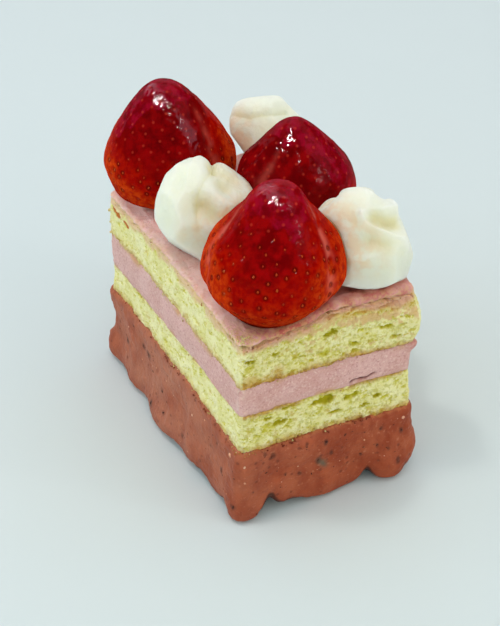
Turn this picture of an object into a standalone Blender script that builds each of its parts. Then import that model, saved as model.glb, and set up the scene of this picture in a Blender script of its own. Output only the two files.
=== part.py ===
"""A rectangular slice of layered cake: a coated base, two pistachio-green sponges with a
pink cream between them and over them, and a topping of whole strawberries and piped cream.

Frame: the origin is the centre of the flat underside, +Z is up, the long cut face looks
along -X and the short cut face along -Y.  All lengths are in metres.
"""
import math

import bpy
import bmesh
from mathutils import Vector, noise

# --- the slice ------------------------------------------------------------------------
SLICE_WIDTH = 0.045
SLICE_LENGTH = 0.073
CORNER_RADIUS = 0.0013
GAP = 0.0003                       # clearance between touching pieces
RIM_SPACING = 0.0029               # distance between points round a layer
CORNER_STEPS = 3

# Heights of the layer boundaries over the four corners of the slice, how far each one
# arches up midway along the slice, and how high its hump is at the short cut face.
BOUNDARIES = {
    "coating_top": dict(near=0.0210, right=0.0190, left=0.0218, far=0.0206, arch=0.0010, hump=0.0),
    "mousse_bottom": dict(near=0.0325, right=0.0300, left=0.0297, far=0.0298, arch=0.0007, hump=0.0004),
    "mousse_top": dict(near=0.0402, right=0.0379, left=0.0391, far=0.0388, arch=0.0012, hump=0.0006),
    "sponge_top": dict(near=0.0512, right=0.0520, left=0.0497, far=0.0506, arch=0.0020, hump=0.0026),
    "cake_top": dict(near=0.0534, right=0.0550, left=0.0523, far=0.0534, arch=0.0005, hump=0.0019),
}
HUMP_PLACE = 0.0030                # across the short cut face, from the slice's middle
HUMP_WIDTH = 0.0070
HUMP_REACH = 0.4                   # how far it runs back, as a share of half the length
EDGE_WAVE = 0.0003                 # height of the waves along the cut edges
EDGE_WAVE_LENGTH = 0.008
EDGE_WAVE_POWER = 8                # how fast they fade in from the edges

# --- the coating of the base ----------------------------------------------------------
COATING_PROUD = 0.0012             # how far the coating stands out from the slice's outline
COATING_RIM_RISE = 0.0003
COATING_RIM_WIDTH = 0.0006
# The coating's side, from its lower edge up: (share of its height, how far it stands out,
# share of the feet's flare that it takes).
COATING_PROFILE = [
    (0.00, -0.0006, 0.45), (0.03, 0.0006, 0.85), (0.09, 0.0012, 1.0), (0.18, 0.0013, 0.90),
    (0.30, 0.0013, 0.60), (0.45, 0.0013, 0.32), (0.62, COATING_PROUD, 0.15),
    (0.80, COATING_PROUD, 0.05), (0.96, COATING_PROUD, 0.0),
]
SPREAD_FROM = 0.5                  # share of the height from which the coating spreads in full
LUMPS_FROM = 0.25                  # and from which it is lumpy in full
UNDERSIDE_INSET = 0.0065           # from the slice's outline in to the flat underside
UNDERSIDE_LIFT = 0.4               # share of the lower edge's lift that is left halfway there
LUMP_DEPTH = 0.0005
LUMP_SIZE = 0.0075
# Feet where the coating ran down and set: (distance round the rim from the near corner,
# anticlockwise, length along the rim, how far it stands out).
FEET = [
    (0.000, 0.0042, 0.0011), (0.022, 0.0050, 0.0010), (0.0395, 0.0034, 0.0034),
    (0.056, 0.0050, 0.0010), (0.073, 0.0060, 0.0018), (0.091, 0.0050, 0.0010),
    (0.106, 0.0060, 0.0020), (0.119, 0.0044, 0.0022), (0.135, 0.0070, 0.0014),
    (0.152, 0.0040, 0.0010), (0.164, 0.0042, 0.0016), (0.178, 0.0050, 0.0018),
    (0.197, 0.0060, 0.0032), (0.212, 0.0060, 0.0014), (0.224, 0.0040, 0.0006),
]
# Places where its lower edge hangs clear of the table: (distance, length, height).
LIFTS = [
    (0.0070, 0.0020, 0.0036), (0.0125, 0.0040, 0.0018), (0.0335, 0.0020, 0.0036),
    (0.0480, 0.0030, 0.0020), (0.0650, 0.0040, 0.0024), (0.0820, 0.0030, 0.0016),
    (0.0985, 0.0030, 0.0022), (0.1270, 0.0030, 0.0020), (0.1450, 0.0040, 0.0018),
    (0.1600, 0.0030, 0.0008), (0.1715, 0.0036, 0.0008), (0.1880, 0.0034, 0.0012),
    (0.2050, 0.0030, 0.0012), (0.2180, 0.0040, 0.0016),
]
# A drip part of the way up beside the right corner, and the hollow waist of the left
# corner: (distance round the rim, length, height, width, depth).
DRIPS = [(0.0470, 0.0022, 0.0058, 0.0018, 0.0012), (0.1630, 0.0080, 0.0120, 0.0036, -0.0016)]

# --- the sponges ----------------------------------------------------------------------
SPONGE_RELIEF = 0.0003
SPONGE_LUMP_SIZE = 0.0045
SPONGE_LUMP_DRIFT = 0.012          # how far the lumps change from the foot of a sponge to its top
SPONGE_LEVELS = (0.0, 0.25, 0.5, 0.75, 1.0)
# Where the lower sponge and the coating spread beyond the slice's outline, and where the
# upper sponge bulges between its edges: (distance round the rim, length, depth).
LOWER_SPREAD = [(0.0450, 0.0080, 0.0008), (0.1630, 0.0090, 0.0008)]
UPPER_BULGE = [(0.0450, 0.0070, 0.0019)]

# --- the pink creams ------------------------------------------------------------------
MOUSSE_SWELL = 0.0003              # how far the mousse stands out midway up
# The side of the top cream, from its foot up: (share of its height, how far it stands out).
TOP_CREAM_PROFILE = [(0.0, -0.0001), (0.55, 0.0002), (0.92, -0.0006), (1.0, -0.0018)]

# --- the strawberries -----------------------------------------------------------------
BERRY_SIDES = 30
BERRY_RINGS = 15
BERRY_RING_CROWDING = 1.5          # the rings lie closer together towards the tip
# Each profile gives shares of the radius at these shares of the height.
PROFILE_HEIGHTS = (0.0, 0.12, 0.30, 0.50, 0.68, 0.83, 0.94, 1.0)
BERRIES = {
    "strawberry_front": dict(
        at=(-0.0102, -0.0272), radius=0.0162, height=0.0309, lean=(0.0014, -0.0006),
        profile=(0.55, 0.77, 1.0, 0.93, 0.69, 0.46, 0.31, 0.0), creases=(-64, 176)),
    "strawberry_middle": dict(
        at=(0.0114, 0.0014), radius=0.0145, height=0.0269, lean=(-0.0002, -0.0007),
        profile=(0.60, 0.86, 1.0, 0.93, 0.70, 0.46, 0.24, 0.0), creases=(-140, 20)),
    "strawberry_back": dict(
        at=(-0.0084, 0.0277), radius=0.0161, height=0.0298, lean=(-0.0015, 0.0005),
        profile=(0.57, 0.95, 1.0, 0.88, 0.68, 0.49, 0.30, 0.0), creases=(-60, 110)),
}
# Shallow creases run down a strawberry at the bearings given in degrees.
CREASE_DEPTH = 0.055               # as a share of the radius
CREASE_WIDTH = 15.0                # in degrees

# --- the piped cream ------------------------------------------------------------------
CREAM_SIDES = 32
CREAM_RINGS = 14
# A fold is a ridge (or, where its height is negative, a valley) that runs between places
# named by their bearing from +X and their elevation above the middle, both in degrees.
CREAMS = {
    "cream_dollop_left": dict(
        at=(-0.0128, 0.0016), radius=0.0113, middle=0.0090,
        folds=[
            ([(64, 59), (120, 66)], 0.0013, 24), ([(30, 50), (-8, 26)], 0.0016, 16),
            ([(22, 66), (40, 40)], -0.0008, 9), ([(-131, 54), (-119, -20)], -0.0013, 12),
            ([(-108, 46), (-108, 26)], -0.0013, 12), ([(-59, 58), (-50, 54)], -0.0009, 12),
            ([(-124, 62), (-85, 60), (-50, 33)], 0.0008, 9),
        ]),
    "cream_dollop_right": dict(
        at=(0.0142, -0.0274), radius=0.0103, middle=0.0084,
        folds=[
            ([(97, 51), (62, 58)], 0.0020, 22), ([(126, 30), (128, 10)], 0.0012, 18),
            ([(-15, 61), (-93, 70), (-145, 60)], 0.0010, 10),
            ([(-143, 56), (-101, 45), (-72, 14)], 0.0005, 9),
            ([(-122, 58), (-71, 46), (-48, 40)], -0.0013, 10), ([(24, 77), (10, 50)], -0.0006, 9),
        ]),
    "cream_dollop_back": dict(
        at=(0.0182, 0.0303), radius=0.0086, middle=0.0068,
        folds=[
            ([(157, 25), (-145, 50), (-77, 54), (-42, 48)], -0.0009, 10),
            ([(126, 40), (100, 46)], 0.0012, 20), ([(11, 49), (30, 44)], 0.0012, 20),
        ]),
}
CREAM_CLEARANCE = 0.0005           # kept where a dollop is pressed against a strawberry

# --- colours (screen values, 0 to 255) and roughness ------------------------------------
COLOURS = {
    "coating": ((158, 98, 76), 0.45),
    "sponge": ((203, 199, 140), 0.9),
    "mousse": ((201, 169, 161), 0.6),
    "top_cream": ((192, 145, 129), 0.4),
    "strawberry": ((160, 24, 14), 0.2),
    "cream": ((228, 228, 212), 0.55),
}


def clear_scene():
    for thing in list(bpy.data.objects):
        bpy.data.objects.remove(thing, do_unlink=True)


def linear(value):
    """A screen value from 0 to 255 as scene-linear light."""
    share = value / 255.0
    return share / 12.92 if share <= 0.04045 else ((share + 0.055) / 1.055) ** 2.4


def make_material(name):
    colour, roughness = COLOURS[name]
    material = bpy.data.materials.new(name)
    material.use_nodes = True
    shader = material.node_tree.nodes["Principled BSDF"]
    shader.inputs["Base Color"].default_value = [linear(c) for c in colour] + [1.0]
    shader.inputs["Roughness"].default_value = roughness
    shader.inputs["Metallic"].default_value = 0.0
    material.diffuse_color = [linear(c) for c in colour] + [1.0]
    return material


def bell(offset, width):
    """A smooth swelling, 1 where the offset is 0 and fading over the width."""
    return math.exp(-0.5 * (offset / width) ** 2)


# --- heights of the layers --------------------------------------------------------------
def boundary_height(name, x, y):
    """Height of a layer boundary at a place in the slice."""
    level = BOUNDARIES[name]
    across = max(-1.0, min(1.0, 2.0 * x / SLICE_WIDTH))
    along = max(-1.0, min(1.0, 2.0 * y / SLICE_LENGTH))
    front = level["near"] * (1 - across) / 2 + level["right"] * (1 + across) / 2
    back = level["left"] * (1 - across) / 2 + level["far"] * (1 + across) / 2
    height = front * (1 - along) / 2 + back * (1 + along) / 2
    height += level["arch"] * (1 - along ** 2)
    fade = max(0.0, 1 - (1 + along) / HUMP_REACH)
    height += level["hump"] * fade * bell(x - HUMP_PLACE, HUMP_WIDTH)
    edge = max(abs(across), abs(along)) ** EDGE_WAVE_POWER
    wave = noise.noise(Vector((x, y, level["near"])) / EDGE_WAVE_LENGTH)
    return height + edge * EDGE_WAVE * wave


def surface_height(x, y):
    """Height of the top of the cake, on which the toppings stand."""
    return boundary_height("cake_top", x, y)


# --- outlines round the slice -------------------------------------------------------------
PERIMETER = 2 * (SLICE_WIDTH + SLICE_LENGTH)


def rim_points():
    """Places round the slice's outline, anticlockwise from the near corner.

    Each is (distance round the rim, place, outward direction).
    """
    corners = [(-1, -1, 180.0), (1, -1, 270.0), (1, 1, 0.0), (-1, 1, 90.0)]
    sides = [SLICE_WIDTH, SLICE_LENGTH, SLICE_WIDTH, SLICE_LENGTH]
    points = []
    start = 0.0
    for index, (x_sign, y_sign, first_angle) in enumerate(corners):
        centre = Vector((x_sign * (SLICE_WIDTH / 2 - CORNER_RADIUS),
                         y_sign * (SLICE_LENGTH / 2 - CORNER_RADIUS), 0.0))
        for step in range(CORNER_STEPS + 1):
            turn = step / CORNER_STEPS
            angle = math.radians(first_angle + 90.0 * turn)
            outward = Vector((math.cos(angle), math.sin(angle), 0.0))
            travel = start + (turn - 0.5) * 2 * CORNER_RADIUS
            points.append((travel % PERIMETER, centre + CORNER_RADIUS * outward, outward))
        straight = sides[index] - 2 * CORNER_RADIUS
        count = 2 * round(straight / RIM_SPACING / 2) + 1
        along = Vector((-outward.y, outward.x, 0.0))
        corner_end = points[-1][1]
        for step in range(1, count):
            distance = straight * step / count
            points.append((start + CORNER_RADIUS + distance, corner_end + along * distance, outward))
        start += sides[index]
    return points


RIM = rim_points()


def bump(travel, place, length):
    """A smooth swelling along the rim, 1 at its place and 0 well away from it."""
    return bell((travel - place + PERIMETER / 2) % PERIMETER - PERIMETER / 2, length)


def spread(travel, bumps):
    """How far a list of swellings, (place, length, depth), stands out at a place on the rim."""
    return sum(depth * bump(travel, place, length) for place, length, depth in bumps)


def ring(outset, height):
    """A closed ring of points; outset and height are functions of (travel, place)."""
    points = []
    for travel, place, outward in RIM:
        moved = place + outward * outset(travel, place)
        points.append(Vector((moved.x, moved.y, height(travel, moved))))
    return points


def underside_ring(inset, height):
    """A ring under the slice, drawn in evenly from its outline; height is a function of travel."""
    shares = Vector((1 - 2 * inset / SLICE_WIDTH, 1 - 2 * inset / SLICE_LENGTH, 0.0))
    return [Vector((place.x * shares.x, place.y * shares.y, height(travel)))
            for travel, place, outward in RIM]


# --- closed solids from rings ---------------------------------------------------------------
def shrunk(points, share, height):
    """Every second point of a ring, drawn in towards the middle of the slice."""
    return [Vector((p.x * share, p.y * share, height(p.x * share, p.y * share)))
            for p in points[::2]]


def add_ring(mesh, points):
    return [mesh.verts.new(point) for point in points]


def bridge_equal(mesh, lower, upper):
    count = len(lower)
    for i in range(count):
        j = (i + 1) % count
        mesh.faces.new((lower[i], lower[j], upper[j], upper[i]))


def bridge_halved(mesh, outer, inner):
    """Join a ring to one that has every second of its points."""
    count = len(inner)
    for i in range(count):
        first, middle = outer[2 * i], outer[2 * i + 1]
        last = outer[(2 * i + 2) % len(outer)]
        following = inner[(i + 1) % count]
        mesh.faces.new((first, middle, inner[i]))
        mesh.faces.new((middle, following, inner[i]))
        mesh.faces.new((middle, last, following))


CAP_SHARES = (0.62, 0.45)          # how far in the cap's first ring lies, and the second within it


def close_with_cap(mesh, edge, height):
    """Close a layer with a cap that follows a height function, sparser towards its middle."""
    outer = edge
    for share in CAP_SHARES:
        places = [vertex.co for vertex in outer]
        inner = add_ring(mesh, shrunk(places, share, height))
        bridge_halved(mesh, outer, inner)
        outer = inner
    mesh.faces.new(outer)


def finish(name, mesh, material_name):
    """Make the object, with every face turned outwards."""
    bmesh.ops.recalc_face_normals(mesh, faces=mesh.faces[:])
    data = bpy.data.meshes.new(name)
    mesh.to_mesh(data)
    mesh.free()
    data.shade_smooth()
    data.set_sharp_from_angle(angle=math.radians(50.0))
    data.materials.append(MATERIALS[material_name])
    thing = bpy.data.objects.new(name, data)
    bpy.context.scene.collection.objects.link(thing)
    return thing


def make_layer(name, rings, bottom, top, material_name):
    """A layer of the cake from its side rings, bottom to top, and two cap heights."""
    mesh = bmesh.new()
    loops = [add_ring(mesh, points) for points in rings]
    for lower, upper in zip(loops, loops[1:]):
        bridge_equal(mesh, lower, upper)
    close_with_cap(mesh, loops[0], bottom)
    close_with_cap(mesh, loops[-1], top)
    return finish(name, mesh, material_name)


# --- the layers, from the bottom up -----------------------------------------------------------
def coating_lift(travel):
    """How far the lower edge of the coating hangs above the table."""
    return sum(height * bump(travel, place, length) for place, length, height in LIFTS)


def make_coated_base():
    """A solid block inside a thick coating that ran down and set in feet at its lower edge."""
    top = lambda x, y: boundary_height("coating_top", x, y)

    def side_height(share):
        def at(travel, p):
            lift = coating_lift(travel)
            return lift + share * (top(p.x, p.y) - lift)
        return at

    def side_outset(share, outset, flare_share):
        def at(travel, p):
            level = share * top(p.x, p.y)
            drip = 0.0
            for place, length, height, width, depth in DRIPS:
                drip += depth * bump(travel, place, length) * bell(level - height, width)
            lump = LUMP_DEPTH * noise.noise(Vector((p.x, p.y, level)) / LUMP_SIZE)
            wide = spread(travel, LOWER_SPREAD) * min(1.0, share / SPREAD_FROM)
            flare = flare_share * spread(travel, FEET)
            return outset + wide + flare + drip + lump * min(1.0, share / LUMPS_FROM)
        return at

    rings = [
        underside_ring(UNDERSIDE_INSET, lambda travel: 0.0),
        underside_ring(UNDERSIDE_INSET / 2, lambda travel: UNDERSIDE_LIFT * coating_lift(travel)),
    ]
    for share, outset, flare_share in COATING_PROFILE:
        rings.append(ring(side_outset(share, outset, flare_share), side_height(share)))
    rings.append(ring(lambda t, p: COATING_PROUD - COATING_RIM_WIDTH / 3 + spread(t, LOWER_SPREAD),
                      lambda t, p: top(p.x, p.y) + COATING_RIM_RISE))
    rings.append(ring(lambda t, p: COATING_PROUD - COATING_RIM_WIDTH + spread(t, LOWER_SPREAD),
                      lambda t, p: top(p.x, p.y)))

    mesh = bmesh.new()
    loops = [add_ring(mesh, points) for points in rings]
    for lower, upper in zip(loops, loops[1:]):
        bridge_equal(mesh, lower, upper)
    mesh.faces.new(loops[0])
    close_with_cap(mesh, loops[-1], top)
    return finish("coated_base", mesh, "coating")


def make_sponge(name, below, above, edge_spread, bulges, seed):
    """A sponge layer with a rough cut side; it spreads at its foot and bulges midway up."""
    bottom = lambda x, y: boundary_height(below, x, y) + GAP
    top = lambda x, y: boundary_height(above, x, y)

    def outset(share):
        swell = math.sin(math.pi * share)

        def at(travel, p):
            level = seed + share * SPONGE_LUMP_DRIFT
            rough = noise.noise(Vector((p.x, p.y, level)) / SPONGE_LUMP_SIZE)
            wide = spread(travel, edge_spread) * (1 - share) + spread(travel, bulges) * swell
            return SPONGE_RELIEF * rough + wide
        return at

    def height(share):
        return lambda travel, p: bottom(p.x, p.y) * (1 - share) + top(p.x, p.y) * share

    rings = [ring(outset(share), height(share)) for share in SPONGE_LEVELS]
    return make_layer(name, rings, bottom, top, "sponge")


def make_cream_middle():
    """The pink mousse between the sponges, cut smooth."""
    bottom = lambda x, y: boundary_height("mousse_bottom", x, y) + GAP
    top = lambda x, y: boundary_height("mousse_top", x, y)
    middle = lambda x, y: (bottom(x, y) + top(x, y)) / 2
    rings = [
        ring(lambda t, p: 0.0, lambda t, p: bottom(p.x, p.y)),
        ring(lambda t, p: MOUSSE_SWELL, lambda t, p: middle(p.x, p.y)),
        ring(lambda t, p: 0.0, lambda t, p: top(p.x, p.y)),
    ]
    return make_layer("cream_middle", rings, bottom, top, "mousse")


def make_cream_top():
    """The thin pink cream over the upper sponge, rounded at its upper edge."""
    bottom = lambda x, y: boundary_height("sponge_top", x, y) + GAP

    def side_ring(share, outset):
        return ring(lambda t, p: outset,
                    lambda t, p: bottom(p.x, p.y) * (1 - share) + surface_height(p.x, p.y) * share)

    rings = [side_ring(share, outset) for share, outset in TOP_CREAM_PROFILE]
    return make_layer("cream_top", rings, bottom, surface_height, "top_cream")


# --- the strawberries ---------------------------------------------------------------------------
def smooth_curve(places, values, at):
    """A smooth curve through the given points that doesn't overshoot them."""
    index = max(i for i in range(len(places) - 1) if places[i] <= at or i == 0)
    spans = [b - a for a, b in zip(places, places[1:])]
    slopes = [(b - a) / span for a, b, span in zip(values, values[1:], spans)]

    def tangent(i):
        if i == 0 or i == len(slopes):
            return slopes[min(i, len(slopes) - 1)]
        before, after = slopes[i - 1], slopes[i]
        return 0.0 if before * after <= 0 else 2 * before * after / (before + after)

    span = spans[index]
    share = (at - places[index]) / span
    rise = values[index + 1] - values[index]
    start, end = tangent(index) * span, tangent(index + 1) * span
    return (values[index] + share * start
            + share ** 2 * (3 * rise - 2 * start - end)
            + share ** 3 * (start + end - 2 * rise))


def berry_radius(berry, share, angle):
    """Distance from a strawberry's axis to its skin."""
    squares = [value ** 2 for value in berry["profile"]]
    plain = berry["radius"] * math.sqrt(max(0.0, smooth_curve(PROFILE_HEIGHTS, squares, share)))
    crease = 0.0
    for bearing in berry["creases"]:
        crease += bell((math.degrees(angle) - bearing + 180.0) % 360.0 - 180.0, CREASE_WIDTH)
    return plain * (1 - CREASE_DEPTH * crease * math.sin(math.pi * share))


def berry_axis(berry, share):
    """The middle of a strawberry at a share of its height."""
    x, y = berry["at"]
    return Vector((x + berry["lean"][0] * share, y + berry["lean"][1] * share,
                   surface_height(x, y) + GAP + berry["height"] * share))


def make_berry(name):
    """A whole strawberry, hulled, standing on its cut end with its tip up."""
    berry = BERRIES[name]
    mesh = bmesh.new()
    loops = []
    for step in range(BERRY_RINGS):
        share = 1 - (1 - step / BERRY_RINGS) ** BERRY_RING_CROWDING
        middle = berry_axis(berry, share)
        points = []
        for side in range(BERRY_SIDES):
            angle = 2 * math.pi * side / BERRY_SIDES
            reach = berry_radius(berry, share, angle)
            point = middle + reach * Vector((math.cos(angle), math.sin(angle), 0.0))
            if step == 0:
                point.z = surface_height(point.x, point.y) + GAP
            points.append(point)
        loops.append(add_ring(mesh, points))
    for lower, upper in zip(loops, loops[1:]):
        bridge_equal(mesh, lower, upper)
    mesh.faces.new(loops[0])
    tip = mesh.verts.new(berry_axis(berry, 1.0))
    last = loops[-1]
    for i in range(BERRY_SIDES):
        mesh.faces.new((last[i], last[(i + 1) % BERRY_SIDES], tip))
    return finish(name, mesh, "strawberry")


# --- the piped cream ----------------------------------------------------------------------------
def direction(bearing, elevation):
    """The unit vector at a bearing and an elevation, both in degrees."""
    b, e = math.radians(bearing), math.radians(elevation)
    return Vector((math.cos(b) * math.cos(e), math.sin(b) * math.cos(e), math.sin(e)))


def distance_to_fold(way, fold):
    """Angle, in degrees, from a direction to the nearest place on a fold's line."""
    nearest = 180.0
    stops = [direction(*stop) for stop in fold]
    for start, end in zip(stops, stops[1:]):
        run = end - start
        share = max(0.0, min(1.0, (way - start).dot(run) / run.length_squared))
        place = (start + run * share).normalized()
        nearest = min(nearest, math.degrees(way.angle(place)))
    return nearest


def push_clear_of_berries(point):
    """Move a point of a dollop out of any strawberry that it would reach into."""
    for berry in BERRIES.values():
        base = berry_axis(berry, 0.0)
        share = (point.z - base.z) / berry["height"]
        if not 0.0 <= share < 1.0:
            continue
        away = point - berry_axis(berry, share)
        away.z = 0.0
        reach = berry_radius(berry, share, math.atan2(away.y, away.x)) + CREAM_CLEARANCE
        if away.length < reach:
            point = point + away.normalized() * (reach - away.length)
    return point


def cream_point(cream, way):
    """Where a dollop's skin lies in a direction from its middle."""
    x, y = cream["at"]
    middle = Vector((x, y, surface_height(x, y) + GAP + cream["middle"]))
    reach = cream["radius"]
    for fold, height, width in cream["folds"]:
        reach += height * bell(distance_to_fold(way, fold), width)
    on_the_cake = way.z * reach < -cream["middle"]
    if on_the_cake:
        reach = -cream["middle"] / way.z
    point = push_clear_of_berries(middle + way * reach)
    floor = surface_height(point.x, point.y) + GAP
    if on_the_cake or point.z < floor:
        point.z = floor
    return point


def make_dollop(name):
    """A dollop of whipped cream, piped with a few soft folds."""
    cream = CREAMS[name]
    mesh = bmesh.new()
    loops = []
    for step in range(1, CREAM_RINGS + 1):
        elevation = -90.0 + 180.0 * step / (CREAM_RINGS + 1)
        points = [cream_point(cream, direction(360.0 * side / CREAM_SIDES, elevation))
                  for side in range(CREAM_SIDES)]
        loops.append(add_ring(mesh, points))
    for lower, upper in zip(loops, loops[1:]):
        bridge_equal(mesh, lower, upper)
    mesh.faces.new(loops[0])
    top = mesh.verts.new(cream_point(cream, direction(0.0, 90.0)))
    last = loops[-1]
    for i in range(CREAM_SIDES):
        mesh.faces.new((last[i], last[(i + 1) % CREAM_SIDES], top))
    return finish(name, mesh, "cream")


# --- the whole slice --------------------------------------------------------------------------------
clear_scene()
MATERIALS = {name: make_material(name) for name in COLOURS}

make_coated_base()
make_sponge("sponge_lower", "coating_top", "mousse_bottom", LOWER_SPREAD, [], 0.0)
make_cream_middle()
make_sponge("sponge_upper", "mousse_top", "sponge_top", [], UPPER_BULGE, 0.1)
make_cream_top()
for berry_name in BERRIES:
    make_berry(berry_name)
for dollop_name in CREAMS:
    make_dollop(dollop_name)
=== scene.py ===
import functools
import math

import bmesh
import bpy
import numpy as np
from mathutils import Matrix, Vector


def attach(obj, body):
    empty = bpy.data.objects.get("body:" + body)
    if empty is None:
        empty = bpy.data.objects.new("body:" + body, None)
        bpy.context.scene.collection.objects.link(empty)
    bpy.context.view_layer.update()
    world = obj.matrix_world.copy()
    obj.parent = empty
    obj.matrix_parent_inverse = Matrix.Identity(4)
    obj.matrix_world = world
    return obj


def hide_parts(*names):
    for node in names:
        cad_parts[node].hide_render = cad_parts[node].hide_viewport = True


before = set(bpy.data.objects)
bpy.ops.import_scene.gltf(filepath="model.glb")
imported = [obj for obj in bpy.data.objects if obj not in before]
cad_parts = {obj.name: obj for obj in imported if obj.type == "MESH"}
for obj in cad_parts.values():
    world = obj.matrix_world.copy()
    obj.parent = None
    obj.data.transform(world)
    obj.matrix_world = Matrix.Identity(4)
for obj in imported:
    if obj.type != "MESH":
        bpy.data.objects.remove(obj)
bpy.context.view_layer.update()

# A slice of layered cake, cut square from a long block.  Every size below is in millimetres.
# The long cut face looks along -X and the short cut face along -Y, and distances round the
# slice are counted anticlockwise from its near corner, where those two faces meet.
MM = 0.001


# --- The coated base ---------------------------------------------------------------------
# A block under a thick fruit coating with ground seeds and nuts in it.  The coating was
# poured, ran down the sides in soft ridges, and set in feet and drips at its lower edge, so
# that it hangs clear of the table between them; its top edge is a thin proud rim.
WIDTH, LENGTH, CORNER = 45.0, 73.0, 1.3
PERIMETER = 2 * (WIDTH + LENGTH)
# Heights of the lines between layers over the near, right, left and far corners, their rise
# midway along the slice, and their hump at the short cut face.
LINES = {
    "coating_top": (21.0, 19.0, 21.8, 20.6, 1.0, 0.0),
    "mousse_bottom": (32.5, 30.0, 29.7, 29.8, 0.7, 0.4),
    "mousse_top": (40.2, 37.9, 39.1, 38.8, 1.2, 0.6),
    "sponge_top": (51.2, 52.0, 49.7, 50.6, 2.0, 2.6),
    "cake_top": (53.4, 55.0, 52.3, 53.4, 0.5, 1.9),
}
HUMP_PLACE, HUMP_WIDTH, HUMP_REACH = 3.0, 7.0, 0.4
LINE_WAVE, LINE_WAVE_SIZE = 0.35, 5.0

# The coating's edge, turned in under it: (how far in, share of the edge's lift).
TURNED_IN = [(6.5, 0.0), (3.2, 0.4)]
# Its side: (share of its height, how far it stands out, share of the feet's flare).
COATING_PROFILE = [
    (0.00, -0.6, 0.45), (0.03, 0.6, 0.85), (0.09, 1.2, 1.0), (0.18, 1.3, 0.90), (0.30, 1.3, 0.60),
    (0.45, 1.3, 0.32), (0.62, 1.2, 0.15), (0.78, 1.2, 0.05), (0.90, 1.15, 0.0),
]
# Above that it thins out up the sponge: (how far it stands out, height over the line).
SHOULDER = [(0.95, -0.9), (0.55, -0.2), (0.15, 0.25), (-0.5, 0.35)]
# Faces between each of its rings and the next, and between places round the slice.
COATING_STEPS = [4, 6, 5, 6, 8, 9, 10, 11, 12, 9, 4, 4, 4, 3]
COATING_STEP = 0.36
# The rows of its skin between which the painted shade of its underside sets in.
UNDERSIDE = (13, 10)
# Feet and lifts of the lower edge: (distance round the slice, length, size).
FEET = [
    (-1.6, 3.0, 0.9), (22.0, 5.0, 1.0), (39.5, 3.4, 3.4), (56.0, 5.0, 1.0), (73.0, 6.0, 1.8),
    (91.0, 5.0, 1.0), (106.0, 6.0, 2.0), (119.0, 4.4, 2.2), (135.0, 7.0, 1.4), (152.0, 4.0, 1.0),
    (164.0, 4.2, 1.6), (178.0, 5.0, 1.8), (197.0, 6.0, 3.2), (212.0, 6.0, 1.4), (224.0, 4.0, 0.6),
]
LIFTS = [
    (6.8, 1.6, 4.0), (12.5, 4.0, 1.8), (33.5, 1.3, 3.4), (48.0, 3.0, 2.0), (65.0, 4.0, 2.4),
    (82.0, 3.0, 1.6), (98.5, 3.0, 2.2), (127.0, 3.0, 2.0), (145.0, 4.0, 1.8), (160.0, 3.0, 0.8),
    (171.5, 3.6, 0.8), (188.0, 3.4, 1.2), (205.0, 3.0, 1.2), (218.0, 4.0, 1.6), (229.6, 1.8, 1.5),
]
# A drip and a hollow waist part of the way up: (distance, length, height, width, depth).
DRIPS = [(47.0, 2.2, 5.8, 1.8, 1.2), (163.0, 8.0, 12.0, 3.6, -1.6)]
LOWER_SPREAD = [(45.0, 8.0, 0.8), (163.0, 9.0, 0.8)]
# Where the ridges run deeper, in the middle of the long face.
RIDGED = [(199.0, 24.0, 1.0)]
LIP_ROUGHNESS = 0.35
# Soft bumps all over its side, and along its rim: (height, size, seed).
SIDE_BUMPS = [(0.38, 7.5, 5), (0.20, 3.1, 6)]
RIM_BUMPS = [(0.30, 1.7, 11), (0.22, 0.7, 13)]
# The seeds and nuts in it that show most: (distance round the slice, height, size).
DARK_BITS = [
    (167.1, 11.3, 0.9), (172.9, 11.2, 1.6), (183.7, 16.6, 1.6), (186.9, 16.4, 1.9),
    (191.7, 4.6, 1.7), (196.1, 11.6, 1.0), (178.1, 19.6, 0.8), (198.8, 6.6, 1.0),
    (208.6, 6.4, 1.1), (225.6, 16.9, 0.9), (228.5, 11.0, 1.5), (221.7, 13.1, 0.8),
    (235.0, 5.0, 1.2), (2.5, 9.5, 0.8), (8.0, 18.4, 1.6), (5.9, 19.6, 1.2), (16.5, 18.6, 1.0),
    (21.8, 17.3, 1.5), (23.4, 13.4, 1.4), (14.9, 10.4, 1.2), (19.9, 12.6, 1.9), (31.6, 9.6, 1.0),
    (35.7, 11.3, 1.2), (38.6, 9.6, 0.9), (36.9, 15.8, 1.2), (42.4, 13.4, 1.4), (41.0, 5.6, 1.6),
    (43.5, 3.2, 0.9), (11.0, 11.6, 1.0), (27.0, 17.4, 0.9),
]
PALE_BITS = [
    (42.7, 17.3, 1.3), (0.6, 18.0, 1.0), (0.8, 13.5, 1.0),
    (213.2, 16.4, 1.0), (232.6, 19.9, 1.4), (198.1, 16.0, 0.8),
]
# The grey streak that the largest seed left on the short face.
SMEAR = dict(travel=21.0, height=11.3, long=1.3, across=0.6, slope=-52)


def bell(offset, width):
    """A smooth swelling, 1 where the offset is 0 and fading over the width."""
    return np.exp(-0.5 * (offset / width) ** 2)


def blend(low, high, value):
    """0 below low, 1 above high, and smooth between them."""
    share = np.clip((value - low) / (high - low), 0.0, 1.0)
    return share * share * (3 - 2 * share)


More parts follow.
